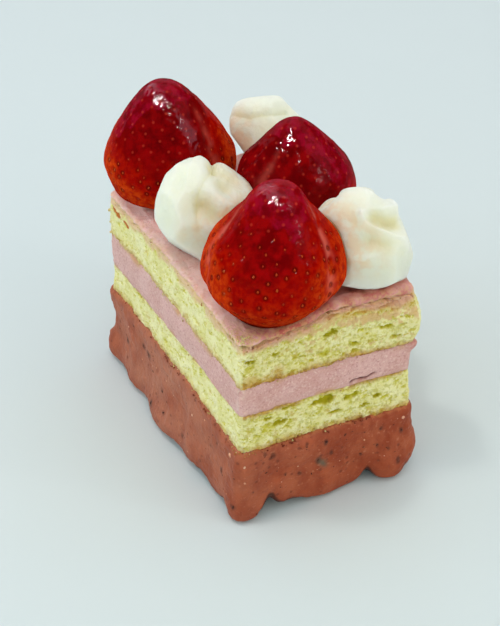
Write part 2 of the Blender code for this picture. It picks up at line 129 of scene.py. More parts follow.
def lumps(points, size, seed):
    """Smooth noise from -1 to 1 at an array of places, in lumps of the given size."""
    cells = np.asarray(points, float) / size
    corner = np.floor(cells).astype(np.int64)
    inside = cells - corner
    inside = inside * inside * (3 - 2 * inside)
    total = np.zeros(cells.shape[:-1])
    for step in np.ndindex(2, 2, 2):
        x, y, z = np.moveaxis(corner + step, -1, 0)
        mixed = x * 73856093 ^ y * 19349663 ^ z * 83492791 ^ seed * 26544357
        for turn, factor in ((15, 2246822519), (13, 3266489917)):
            mixed = (mixed ^ mixed >> turn) * factor & 0xFFFFFFFF
        weight = np.prod(np.where(step, inside, 1 - inside), axis=-1)
        total += weight * ((mixed >> 16 & 0xFFFF) / 32768.0 - 1)
    return total


def lumpy(points, *layers):
    """Lumps of several kinds on top of each other: (height, size, seed) of each."""
    return sum(height * lumps(points, size, seed) for height, size, seed in layers)


def smooth_curve(places, values, at):
    """A smooth curve through values, or arrays of them, that doesn't overshoot them."""
    places, values, at = (np.asarray(numbers, float) for numbers in (places, values, at))
    wide = (1,) * (values.ndim - 1)
    slopes = np.diff(values, axis=0) / np.diff(places).reshape((-1,) + wide)
    before, after = slopes[:-1], slopes[1:]
    same_way = before * after > 0
    bends = 2 * before * after / np.where(same_way, before + after, 1.0)
    tangents = np.concatenate([slopes[:1], np.where(same_way, bends, 0.0), slopes[-1:]])
    index = np.clip(np.searchsorted(places, at, side="right") - 1, 0, len(slopes) - 1)
    span = (places[index + 1] - places[index]).reshape(at.shape + wide)
    share = (at - places[index]).reshape(at.shape + wide) / span
    rise = values[index + 1] - values[index]
    start, end = tangents[index] * span, tangents[index + 1] * span
    return (values[index] + share * start + share ** 2 * (3 * rise - 2 * start - end)
            + share ** 3 * (start + end - 2 * rise))


def line_height(line, place):
    """Height of the line between two layers at places in the slice."""
    near, right, left, far, rise, hump = LINES[line]
    x, y = place[..., 0], place[..., 1]
    across, along = np.clip(2 * x / WIDTH, -1, 1), np.clip(2 * y / LENGTH, -1, 1)
    front = near * (1 - across) / 2 + right * (1 + across) / 2
    back = left * (1 - across) / 2 + far * (1 + across) / 2
    height = front * (1 - along) / 2 + back * (1 + along) / 2 + rise * (1 - along ** 2)
    height += hump * np.maximum(0, 1 - (1 + along) / HUMP_REACH) * bell(x - HUMP_PLACE, HUMP_WIDTH)
    edge = np.maximum(np.abs(across), np.abs(along)) ** 8
    waves = lumps(np.stack([x, y, np.full_like(x, near)], -1), LINE_WAVE_SIZE, 3)
    return height + edge * LINE_WAVE * waves


def on_line(line, place):
    """A ring of places on the line between two layers."""
    return np.column_stack([place, line_height(line, place)])


def rim(travel):
    """Places on the slice's outline at distances round it, and the ways out from them."""
    starts = np.cumsum([0, WIDTH, LENGTH, WIDTH])
    along = (np.asarray(travel, float) + CORNER) % PERIMETER
    side = np.searchsorted(starts, along, side="right") - 1
    local = along - starts[side]
    angle = np.radians(180 + 90 * (side + np.clip(local / (2 * CORNER), 0, 1)))
    outward = np.stack([np.cos(angle), np.sin(angle)], -1)
    signs = np.array([(-1, -1), (1, -1), (1, 1), (-1, 1)])[side]
    centre = signs * (np.array([WIDTH, LENGTH]) / 2 - CORNER)
    onward = np.stack([-outward[:, 1], outward[:, 0]], -1)
    return centre + CORNER * outward + onward * np.maximum(0, local - 2 * CORNER)[:, None], outward


def round_edge(travel):
    """Places for lumps that change only with the distance round the slice."""
    return np.stack([travel, 0 * travel, 0 * travel], -1)


def swellings(travel, places):
    """How far a list of swellings, (distance, length, size), stands out round the slice."""
    total = np.zeros_like(travel)
    for place, length, size in places:
        away = (travel - place + PERIMETER / 2) % PERIMETER - PERIMETER / 2
        total += size * bell(away, length)
    return total


def smoothed(rings, steps):
    """Rings of points filled in along smooth curves from the first ring to the last."""
    rings = np.asarray(rings)
    hops = np.linalg.norm(np.diff(rings, axis=0), axis=-1).mean(axis=1)
    places = np.concatenate([[0.0], np.cumsum(hops)])
    spans = zip(places, places[1:], steps)
    at = np.concatenate([np.linspace(*span, endpoint=False) for span in spans])
    return smooth_curve(places, rings, np.append(at, places[-1]))


def ways_out(rings):
    """Directions straight out of a surface made of rings that run anticlockwise and upwards."""
    onward = np.roll(rings, -1, axis=1) - np.roll(rings, 1, axis=1)
    out = np.cross(onward, np.gradient(rings, axis=0))
    return out / np.maximum(np.linalg.norm(out, axis=-1, keepdims=True), 1e-9)


def in_scene(name, data):
    """An object of a mesh, a lamp or a camera, put in the scene."""
    thing = bpy.data.objects.new(name, data)
    bpy.context.scene.collection.objects.link(thing)
    return thing


def of_mesh(name, points, faces=()):
    """An object of a mesh with these points, in millimetres, and faces."""
    mesh = bpy.data.meshes.new(name)
    mesh.from_pydata((np.asarray(points) * MM).tolist(), [], faces)
    return in_scene(name, mesh)


def marked(thing, label, values):
    """Mark an object's points with values, which its finish and its geometry tree can read."""
    thing.data.attributes.new(label, "FLOAT", "POINT").data.foreach_set("value", values)


def solid(name, rings, **marks):
    """A closed object from rings of points, the lowest first, with marks at its points."""
    count, around = rings.shape[:2]
    middles = rings[:1].mean(axis=1), rings[-1:].mean(axis=1)
    here, last = np.arange(around), (count - 1) * around
    onward, every = np.roll(here, -1), np.full(around, count * around)
    row = np.arange(count - 1)[:, None] * around
    up = row + around
    sides = np.stack([row + here, row + onward, up + onward, up + here], -1).reshape(-1, 4)
    low = np.stack([every, onward, here], -1)
    high = np.stack([last + here, last + onward, every + 1], -1)
    thing = of_mesh(name, np.concatenate([rings.reshape(-1, 3), *middles]),
                    sides.tolist() + low.tolist() + high.tolist())
    for label, values in marks.items():
        flat = np.broadcast_to(values, (count, around)).reshape(-1)
        marked(thing, label, np.concatenate([flat, flat[:1], flat[-1:]]))
    thing.data.shade_smooth()
    return thing


def screen(*colour):
    """A colour as seen on a screen, 0 to 255, as scene-linear light."""
    shares = [value / 255.0 for value in colour]
    return [c / 12.92 if c <= 0.04045 else ((c + 0.055) / 1.055) ** 2.4 for c in shares] + [1.0]


class Nodes:
    """A tree of nodes, whose inputs take numbers, colours and other nodes' outputs."""

    def __init__(self, tree):
        self.tree = tree

    def add(self, kind, inputs=None, out=0, **settings):
        """Add a node and give one of its outputs."""
        made = self.tree.nodes.new(kind)
        for key, value in settings.items():
            setattr(made, key, value)
        for key, value in (inputs or {}).items():
            if isinstance(value, bpy.types.NodeSocket):
                self.tree.links.new(value, made.inputs[key])
            else:
                made.inputs[key].default_value = value
        return made.outputs[out]

    def math(self, operation, first, second):
        return self.add("ShaderNodeMath", {0: first, 1: second}, operation=operation)

    def times(self, first, second):
        return self.math("MULTIPLY", first, second)

    def plus(self, first, second):
        return self.math("ADD", first, second)

    def vector(self, operation, *values, **sockets):
        sockets.update(enumerate(values))
        return self.add("ShaderNodeVectorMath", sockets, operation=operation)

    def ramp(self, value, low, high, bottom=0.0, top=1.0):
        """A value mapped smoothly from the range low to high onto bottom to top."""
        ends = {"From Min": low, "From Max": high, "To Min": bottom, "To Max": top}
        return self.add("ShaderNodeMapRange", {"Value": value, **ends},
                        interpolation_type="SMOOTHSTEP")

    def noise(self, place, scale, detail=2.0, roughness=0.5, out="Fac"):
        return self.add("ShaderNodeTexNoise", {"Vector": place, "Scale": scale, "Detail": detail,
                                               "Roughness": roughness}, out)


class Finish(Nodes):
    """A material: colours laid over each other by patterns, which are sized in millimetres.
    sinks says how much of the light sinks in, how deep, and how deep by red, green and blue."""

    def __init__(self, name, roughness, specular, sinks=(), **sockets):
        self.material = bpy.data.materials.new(name)
        self.material.use_nodes = True
        super().__init__(self.material.node_tree)
        self.sockets = self.tree.nodes["Principled BSDF"].inputs
        sockets.update(Roughness=roughness, Specular_IOR_Level=specular)
        for key, value in zip(("Weight", "Scale", "Radius"), sinks):
            sockets["Subsurface_" + key] = value * MM if key == "Scale" else value
        for key, value in sockets.items():
            self.sockets[key.replace("_", " ")].default_value = value

    def stretched(self, *stretch):
        """Places in the object, in millimetres times a stretch along each axis."""
        at = self.add("ShaderNodeTexCoord", out="Object")
        return self.vector("MULTIPLY", at, [share / MM for share in stretch])

    @functools.cached_property
    def place(self):
        return self.stretched(1, 1, 1)

    def grain(self, size, detail=2.0, roughness=0.5, stretch=()):
        """Noise from 0 to 1, in lumps of a size."""
        place = self.stretched(*stretch) if stretch else self.place
        return self.noise(place, 1 / size, detail, roughness)

    def patches(self, size, detail, low, high, bottom=0.0, top=1.0, **more):
        """Patches of grain: bottom where it is under low and top where it is over high."""
        return self.ramp(self.grain(size, detail, **more), low, high, bottom, top)

    def mark(self, label, share=1.0):
        """What the object's points are marked with by a label, times a share."""
        found = self.add("ShaderNodeAttribute", out="Fac", attribute_name=label)
        return found if share == 1.0 else self.times(found, share)

    def mix(self, amount, first, second):
        """A colour mixed from two, by an amount or by the label of a mark."""
        amount = self.mark(amount) if isinstance(amount, str) else amount
        first, second = (screen(*c) if isinstance(c, tuple) else c for c in (first, second))
        return self.add("ShaderNodeMix", {0: amount, 6: first, 7: second}, 2, data_type="RGBA")

    def cover(self, amount, first, second):
        """Cover it with a mix of two colours."""
        self.colour = self.mix(amount, first, second)
        self.tree.links.new(self.colour, self.sockets["Base Color"])
        return self

    def lay(self, amount, colour):
        """Lay one more colour over it, by an amount."""
        return self.cover(amount, self.colour, colour)

    def raised(self, heights, depth, socket="Normal"):
        """Fine relief: heights 0 to 1 that stand up to a depth."""
        ends = {"Height": heights, "Distance": depth * MM, "Strength": 1.0}
        self.tree.links.new(self.add("ShaderNodeBump", ends), self.sockets[socket])


def placed(thing, finish, slot, *nodes):
    """Finish a piece: its material, the body it rides on and the nodes it stands for; its slot is
    not used.
    """
    thing.data.materials.clear()
    thing.data.materials.append(finish.material)
    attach(thing, "root")
    if nodes:
        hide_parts(*nodes)


def coating_surface(travel, steps):
    """The coating's skin round the slice, from under its lower edge up and over its rim."""
    place, outward = rim(travel)
    lift = swellings(travel, LIFTS)
    ragged = lumpy(round_edge(travel), (1.0, 1.9, 14), (0.6, 0.8, 15))
    lift = lift + LIP_ROUGHNESS * blend(0.3, 1.5, lift) * ragged
    flare, wide = swellings(travel, FEET), swellings(travel, LOWER_SPREAD)
    top = line_height("coating_top", place)

    def under(inset, share):
        shares = np.array([1 - 2 * inset / WIDTH, 1 - 2 * inset / LENGTH])
        return np.column_stack([place * shares, share * lift])

    def level(outset, height):
        return np.column_stack([place + outward * outset[:, None], height])

    rings = [under(*row) for row in TURNED_IN]
    for share, outset, flare_share in COATING_PROFILE:
        drip = np.zeros_like(travel)
        for at, length, middle, width, depth in DRIPS:
            drip += swellings(travel, [(at, length, depth)]) * bell(share * top - middle, width)
        outset = outset + wide * min(1, 2 * share) + flare_share * flare + drip
        rings.append(level(outset, lift + share * (top - lift)))
    rings += [level(outset + wide, top + height) for outset, height in SHOULDER]
    skin = smoothed(rings, steps)
    return skin, np.clip((skin[..., 2] - lift) / (top - lift), 0, 1.2)


coating_travel = np.arange(0, PERIMETER, COATING_STEP)
skin, coating_share = coating_surface(coating_travel, COATING_STEPS)
out = ways_out(skin)
side = blend(0.0, 0.10, coating_share) * blend(1.02, 0.90, coating_share)
along_rim = np.broadcast_to(coating_travel, coating_share.shape)
ridged = swellings(coating_travel, RIDGED)
ridges = np.stack([along_rim + 0.25 * skin[..., 2], 0.30 * skin[..., 2], 0 * skin[..., 2]], -1)
relief = lumpy(skin, *SIDE_BUMPS)
relief += lumps(ridges, 5.5, 7) * (0.12 + 0.24 * ridged)
relief += 0.45 * np.maximum(0, lumps(skin, 1.7, 8) - 0.30) + 0.07 * lumps(skin, 0.9, 9)
rim_share = blend(0.93, 1.0, coating_share)
skin += out * (relief * side + rim_share * 0.16 * lumps(skin, 1.1, 10))[..., None]
skin[..., 2] += rim_share * lumpy(round_edge(along_rim), *RIM_BUMPS)

onward, upward = along_rim - SMEAR["travel"], skin[..., 2] - SMEAR["height"]
slope = math.radians(SMEAR["slope"])
smear = bell(onward * math.cos(slope) + upward * math.sin(slope), SMEAR["long"])
smear *= bell(upward * math.cos(slope) - onward * math.sin(slope), SMEAR["across"])
shade = np.zeros_like(along_rim)
for at, height, size in DARK_BITS:
    near_bit = bell(along_rim - at, (0.32 + 0.2 * ridged) * size)
    near_bit *= bell(skin[..., 2] - height, 0.48 * size)
    near_bit = blend(0.15, 0.85, near_bit + 0.2 * lumps(skin, 0.8, 18))
    shade = np.maximum(shade, near_bit * min(1, size / 1.5))
lifted = swellings(coating_travel, LIFTS)
# A dark line painted along the lower edge where it is lifted: painted shadow under the lip.
lip = blend(0.05, -0.02, coating_share - 0.034 * lifted + 0.02 * lumps(skin, 1.3, 16))
under = blend(*UNDERSIDE, np.arange(len(skin)))[:, None]
under = np.maximum(under, 0.85 * lip * blend(0.4, 1.4, lifted))
# The long face painted lighter and paler: painted sheen and light on that side.
pale = 0.5 * ridged * (0.75 + 0.45 * lumps(skin, 6.0, 17))

rings = np.concatenate([skin, on_line("coating_top", skin[-1, :, :2] * 0.9)[None]])
last_ring = ((0, 1), (0, 0))
coating = solid("fruit_coating", rings, rise=np.pad(coating_share, last_ring, constant_values=1),
                smear=np.pad(smear, last_ring), shade=np.pad(shade, last_ring),
                under=np.pad(under, last_ring), pale=np.pad(pale, last_ring))

coat = Finish("fruit coating", 0.5, 0.15, sinks=(0.15, 1.2, (1.0, 0.45, 0.3)))
coat.cover(coat.patches(3.6, 4, 0.3, 0.7, stretch=(1, 1, 0.55)), (145, 62, 33), (171, 88, 55))
coat.lay(coat.patches(6.0, 2, 0.5, 0.75, 0, 0.5), (178, 84, 46))
# Painted sheen: the long face painted paler.
coat.lay("pale", (194, 140, 114))
coat.lay(coat.patches(1.3, 3, 0.56, 0.72, 0, 0.45), (138, 66, 46))
coat.lay(coat.patches(0.9, 2, 0.60, 0.74, 0, 0.35), (204, 132, 98))
coat.lay(coat.ramp(coat.mark("rise"), 0.0, 0.3, 0.6, 0), (146, 68, 42))
on_rim = coat.ramp(coat.mark("rise"), 0.97, 1.02)
coat.lay(coat.times(on_rim, coat.patches(0.9, 3, 0.40, 0.60, 0.1, 0.75)), (186, 112, 62))
dots = coat.add("ShaderNodeTexVoronoi", {"Vector": coat.place, "Scale": 1 / 1.9}, "Distance")
kind = coat.add("ShaderNodeSeparateColor", {"Color": dots.node.outputs["Color"]})
spots = coat.times(coat.math("GREATER_THAN", kind, 0.72), coat.ramp(dots, 0.34, 0.10))
coat.lay(coat.times(spots, 0.6), (104, 50, 34))
coat.lay(coat.mark("shade", 0.8), (82, 44, 32))
coat.lay(coat.mark("smear", 0.9), (92, 92, 74))
# Painted shade: the hidden underside, and the dark line under the lifted lower edge.
coat.lay("under", (44, 22, 14))
coat.raised(coat.plus(coat.grain(0.7, 3), coat.times(spots, -0.3)), 0.2)
placed(coating, coat, "coating", "coated_base")


# --- Seeds and nuts in the coating ---------------------------------------------------------
# Dark bits of ground seed and pale bits of nut stick out of the coating.  Each is one rough
# chip, turned and sized at random and set half into the surface.
LOWEST_BIT, HIGHEST_BIT = 1.5, 19.5
# The skin's rows on its upright side: the first, and how many are left out above it.
FIRST_ROW, ROWS_ABOVE = 10, 16
# The most that a bit is spun by, in radians.
TURN = 6.28


class Shaping(Nodes):
    """A geometry tree with named inputs: numbers as they are at first, or kinds of socket."""

    def __init__(self, name, **inputs):
        super().__init__(bpy.data.node_groups.new(name, "GeometryNodeTree"))
        new_socket = self.tree.interface.new_socket
        new_socket("Geometry", in_out="INPUT", socket_type="NodeSocketGeometry")
        for label, value in inputs.items():
            kind = {float: "Float", int: "Int"}.get(type(value), value)
            socket = new_socket(label, in_out="INPUT", socket_type="NodeSocket" + kind)
            if kind != value:
                socket.default_value = value
        new_socket("Geometry", in_out="OUTPUT", socket_type="NodeSocketGeometry")
        self.inputs = self.tree.nodes.new("NodeGroupInput").outputs

    def named(self, label, kind="FLOAT"):
        return self.add("GeometryNodeInputNamedAttribute", {"Name": label}, data_type=kind)

    def end(self, geometry):
        """End the tree in real meshes of its material."""
        real = self.add("GeometryNodeRealizeInstances", {0: geometry})
        made = self.add("GeometryNodeSetMaterial", {0: real, "Material": self.inputs["material"]})
        self.tree.links.new(made, self.tree.nodes.new("NodeGroupOutput").inputs[0])

    def grow(self, thing, **values):
        """Run the tree on an object and keep the result as its plain mesh."""
        modifier = thing.modifiers.new(self.tree.name, "NODES")
        modifier.node_group = self.tree
        for item in self.tree.interface.items_tree:
            if item.in_out == "INPUT" and item.name in values:
                modifier[item.identifier] = values[item.name]
        bpy.context.view_layer.update()
        graph = bpy.context.evaluated_depsgraph_get()
        made = bpy.data.meshes.new_from_object(
            thing.evaluated_get(graph), preserve_all_data_layers=True, depsgraph=graph)
        thing.modifiers.clear()
        thing.data = made


# One copy of a chip at each point: it faces the point's way out, turned and sized at random.
scatter = Shaping("scattered bits", chip="Object", spread=0.3, seed=0, material="Material")
facing = scatter.add("FunctionNodeAlignRotationToVector",
                     {"Vector": scatter.named("facing", "FLOAT_VECTOR")})
spin = scatter.add("FunctionNodeAxisAngleToRotation",
                   {"Axis": (0, 0, 1), "Angle": scatter.named("spin")})
turned = scatter.add("FunctionNodeRotateRotation", {"Rotation": facing, "Rotate By": spin},
                     rotation_space="LOCAL")
sizes = {"Seed": scatter.inputs["seed"]}
for end, operation in (("Min", "SUBTRACT"), ("Max", "ADD")):
    size = scatter.math(operation, 1.0, scatter.inputs["spread"])
    sizes[end] = scatter.add("ShaderNodeCombineXYZ", {0: size, 1: size, 2: size})
uneven = scatter.add("FunctionNodeRandomValue", sizes, data_type="FLOAT_VECTOR")
chip = scatter.add("GeometryNodeObjectInfo", {"Object": scatter.inputs["chip"]}, "Geometry")
scatter.end(scatter.add("GeometryNodeInstanceOnPoints", {
    "Points": scatter.inputs[0], "Instance": chip, "Rotation": turned,
    "Scale": scatter.vector("SCALE", uneven, Scale=scatter.named("size"))}))


def chip_shape(stretch, roughness, seed, taper=0.0):
    """A rough round chip, a millimetre across before it is scaled, and tapered along Y."""
    shape = bmesh.new()
    bmesh.ops.create_icosphere(shape, subdivisions=1, radius=0.5 * MM)
    for corner in shape.verts:
        place = np.array([corner.co]) / MM
        x, y, z = place[0] * (1 + roughness * lumps(place, 0.4, seed)) * stretch
        corner.co = Vector((x * (1 - taper * y), y, z)) * MM
    mesh = bpy.data.meshes.new("chip")
    shape.to_mesh(mesh)
    shape.free()
    return in_scene("chip", mesh)


def scattered(name, slot, finish, chip, spots, seed, spread=0.3):
    """Bits of one kind: spots are (place, way out, size, spin, shade), turned in radians."""
    places, ways, *rest = zip(*spots)
    thing = of_mesh(name, places)
    thing.data.attributes.new("facing", "FLOAT_VECTOR", "POINT").data.foreach_set(
        "vector", np.array(ways, float).reshape(-1))
    for label, values in zip(("size", "spin", "shade"), rest):
        marked(thing, label, values)
    scatter.grow(thing, chip=chip, spread=spread, seed=seed, material=finish.material)
    thing.data.shade_smooth()
    placed(thing, finish, slot)
    bpy.data.objects.remove(chip)


def on_coating(travel, height, sink):
    """A place on the coating at a distance round the slice and a height, and its way out."""
    column = int(round(travel / COATING_STEP)) % len(coating_travel)
    upright = skin[FIRST_ROW:len(skin) - ROWS_ABOVE, column, 2]
    row = FIRST_ROW + int(np.argmin(np.abs(upright - height)))
    return skin[row, column] - sink * out[row, column], out[row, column]


chance = np.random.default_rng(12)


def bits(chosen, count, smallest, largest, sink):
    """The chosen bits, and a number of small ones spread at random over the coating."""
    spots = list(chosen)
    for turn in range(count):
        spots.append((chance.uniform(0, PERIMETER), chance.uniform(LOWEST_BIT, HIGHEST_BIT),
                      smallest + (largest - smallest) * chance.random() ** 2))
    made = []
    for travel, height, size in spots:
        place, way = on_coating(travel, height, sink * size)
        made.append((place, way, size, chance.uniform(0, TURN), chance.random()))
    return made


finish = Finish("ground seeds", 0.5, 0.1).cover("shade", (48, 30, 24), (116, 60, 42))
scattered("coating_seed_bits", "coating", finish,
          chip_shape((1.0, 0.6, 0.35), roughness=0.35, seed=21),
          bits(DARK_BITS, count=220, smallest=0.3, largest=0.9, sink=0.10), seed=4)
finish = Finish("nut bits", 0.5, 0.1, sinks=(0.2, 0.6))
finish.cover("shade", (210, 146, 108), (232, 190, 160))
scattered("coating_nut_bits", "coating", finish,
          chip_shape((0.9, 0.7, 0.5), roughness=0.3, seed=22),
          bits(PALE_BITS, count=40, smallest=0.3, largest=0.7, sink=0.08), seed=5)


# --- The sponges ------------------------------------------------------------------------------
# Two sheets of pistachio-green sponge, soaked and cut with a saw, so that their sides show the
# open crumb: pale walls round pores, which carry painted shade, darker and more olive the deeper
# they go.  A golden skin from baking runs along their edges.
SPONGE_STEP, SPONGE_ROWS = 0.2, 62
# How squarely a place looks along Y where it counts as on a short face.
SQUARELY = 0.9
# How ragged a sheet's cut edges are: (height, size) of each kind of lumps.
RAGGED_EDGES = [(0.22, 1.5), (0.15, 0.6)]
# Places on the upper sponge's short face where the filling was dragged over it by the knife:
# (place across the slice, height).
DRAG = [(-22.5, 52.4), (-15.9, 51.9), (-10.5, 51.1), (-4.1, 51.3), (2.5, 51.0), (9.3, 49.6),
        (14.2, 49.4), (22.5, 48.2)]
DRAG_WIDTH = 1.05
UPPER_BULGE = [(45.0, 7.0, 1.9)]
# Least widths of the golden film along a sheet's lower and upper edges, and how open the crumb
# is on the long faces, which the knife pressed smoother than the short ones.
FILM_WIDTHS = (0.95, 0.45)
LONG_FACE_CRUMB = 0.72
# Large holes in the crumb of the short face: (place across, height, half its length, half its
# height, depth).
UPPER_HOLES = [
    (-5.4, 51.9, 1.6, 0.4, 0.8), (0.6, 53.2, 2.0, 0.5, 0.9), (7.0, 53.3, 1.8, 0.5, 0.9),
    (15.1, 51.6, 2.4, 0.4, 1.0), (0.5, 48.1, 1.7, 0.5, 1.1), (14.3, 46.0, 2.1, 0.6, 1.0),
    (6.8, 43.2, 1.0, 0.6, 0.9), (-13.8, 47.5, 1.0, 0.5, 0.8), (-19.8, 47.6, 1.4, 0.5, 0.8),
    (-8.0, 44.5, 1.6, 0.4, 0.7), (17.5, 42.4, 1.2, 0.4, 0.7),
]
LOWER_HOLES = [
    (-0.6, 29.0, 2.9, 1.0, 1.5), (5.8, 27.6, 1.9, 0.8, 1.1), (13.4, 25.4, 1.3, 0.7, 1.3),
    (-10.4, 31.0, 2.2, 0.5, 0.9), (-12.2, 27.0, 1.7, 0.8, 1.2), (-15.2, 29.6, 1.6, 0.5, 0.7),
    (1.8, 24.6, 1.8, 0.5, 0.7), (10.0, 23.6, 1.4, 0.4, 0.7),
]
# Toasted spots on the long face: (distance round the slice, height, size).
TOASTED = [(168.1, 48.1, 0.95), (174.2, 48.0, 0.7)]

# Open crumb on a cut face: pores of three sizes pushed in, and rough walls between them.
crumb = Shaping("open crumb", pore_size=1.1, pore_depth=0.3, roughness=0.12, shift=0.0,
                material="Material")
crumb_place = crumb.vector("MULTIPLY", crumb.add("GeometryNodeInputPosition"),
                           (1 / MM, 1 / MM, 1.7 / MM))
crumb_place = crumb.vector("ADD", crumb_place,
                           crumb.add("ShaderNodeCombineXYZ", {2: crumb.inputs["shift"]}))
wobble = crumb.vector("SUBTRACT", crumb.noise(crumb_place, 1.1, 3.0, out="Color"), (0.5, 0.5, 0.5))
wobbled = crumb.vector("MULTIPLY_ADD", wobble, (2.2, 2.2, 2.2), crumb_place)


def pores(share, wide, narrow):
    """How deep the pores of one size reach, 0 to 1, between a wide and a narrow distance."""
    scale = crumb.math("DIVIDE", 1 / share, crumb.inputs["pore_size"])
    cells = crumb.add("ShaderNodeTexVoronoi", {"Vector": wobbled, "Scale": scale}, "Distance",
                      feature="SMOOTH_F1")
    return crumb.ramp(cells, wide, narrow)


rough_walls = crumb.noise(crumb_place, 1.5, 5.0, 0.65)
depth = crumb.times(pores(0.7, 0.55, 0.12), 0.6)
depth = crumb.plus(depth, crumb.times(pores(1.4, 0.48, 0.10), 0.7))
depth = crumb.plus(depth, crumb.times(crumb.ramp(rough_walls, 0.52, 0.36), 0.7))
depth = crumb.times(depth, crumb.ramp(crumb.noise(crumb_place, 0.42), 0.62, 0.38, 0.45, 1.25))
large = crumb.times(pores(3.0, 0.40, 0.06), crumb.ramp(crumb.noise(crumb_place, 0.2), 0.40, 0.60))
depth = crumb.plus(depth, crumb.times(large, 1.1))
roughness = crumb.times(crumb.inputs["roughness"], 8.0)
move = crumb.times(crumb.math("SUBTRACT", rough_walls, 0.4), roughness)
move = crumb.math("SUBTRACT", move, crumb.times(depth, crumb.inputs["pore_depth"]))
move = crumb.times(crumb.times(move, crumb.named("open")), MM)
moved = crumb.add("GeometryNodeSetPosition", {
    "Geometry": crumb.inputs[0],
    "Offset": crumb.vector("SCALE", crumb.add("GeometryNodeInputNormal"), Scale=move)})
# How deep each pore and hole reaches, which the sponges' finish paints as shade.
pore = crumb.plus(crumb.times(depth, 0.6), crumb.named("hole"))
crumb.end(crumb.add("GeometryNodeStoreNamedAttribute", {
    "Geometry": moved, "Name": "pore", "Value": crumb.times(pore, crumb.named("open"))},
    data_type="FLOAT", domain="POINT"))


def sponge_finish(name, stain):
    """Pistachio sponge: pale walls, painted olive shade in its pores, golden skin at its edges and
    stained patches.
    """
    sponge = Finish(name, 0.85, 0.1, sinks=(0.4, 1.4, (1.0, 0.95, 0.3)))
    pore = sponge.mark("pore")
    sponge.cover(sponge.patches(4.0, 3, 0.35, 0.65), (234, 228, 158), (244, 239, 184))
    open_share = sponge.ramp(sponge.mark("open"), 0.72, 1.0, 0.25, 0.62)
    speckles = sponge.patches(1.1, 3, 0.48, 0.66, roughness=0.6)
    sponge.lay(sponge.times(speckles, open_share), (190, 184, 74))
    # Painted shade in the pores: darker and more olive the deeper they reach.
    sponge.lay(sponge.ramp(pore, 0.10, 0.55), (212, 204, 88))
    sponge.lay(sponge.ramp(pore, 0.50, 1.0), (184, 175, 30))
    sponge.lay(sponge.patches(2.2, 3, 0.58, 0.74, 0, 0.5), (212, 180, 90))
    in_pores = sponge.ramp(pore, 0.15, 0.7, 0.55, 1.0)
    sponge.lay(sponge.times(sponge.mark("golden"), in_pores), (204, 160, 70))
    sponge.lay("drag", (219, 178, 122))
    baked = sponge.mix(sponge.patches(0.9, 3, 0.35, 0.65), (208, 163, 76), (168, 116, 46))
    sponge.lay("film", baked)
    sponge.lay(sponge.mark("stain", stain), (226, 172, 152))
    sponge.lay("toast", (196, 108, 44))
    sponge.raised(sponge.grain(0.35, 3, 0.7), 0.15)
    return sponge


def cut_side(place, low, high, share):
    """Places up a sheet's cut side between two heights, at shares of its thickness."""
    height = low * (1 - share) + high * share
    x, y = (np.broadcast_to(way, height.shape) for way in place.T)
    return np.stack([x, y, height], -1)


def cut_sheet(name, below, above, inset, spots, outward, outset, **marks):
    """A sheet between two lines: its cut side, stood out and marked, and its flat faces."""
    place = spots[0, :, :2]
    stood_out = spots[..., :2] + outward * outset[..., None]
    walls = np.concatenate([stood_out, spots[..., 2:]], -1)
    under = [on_line(below, place * share) for share in inset]
    over = [on_line(above, place * share) for share in reversed(inset)]
    unmarked = ((len(inset), len(inset)), (0, 0))
    return solid(name, np.array(under + list(walls) + over),
                 **{label: np.pad(values, unmarked) for label, values in marks.items()})


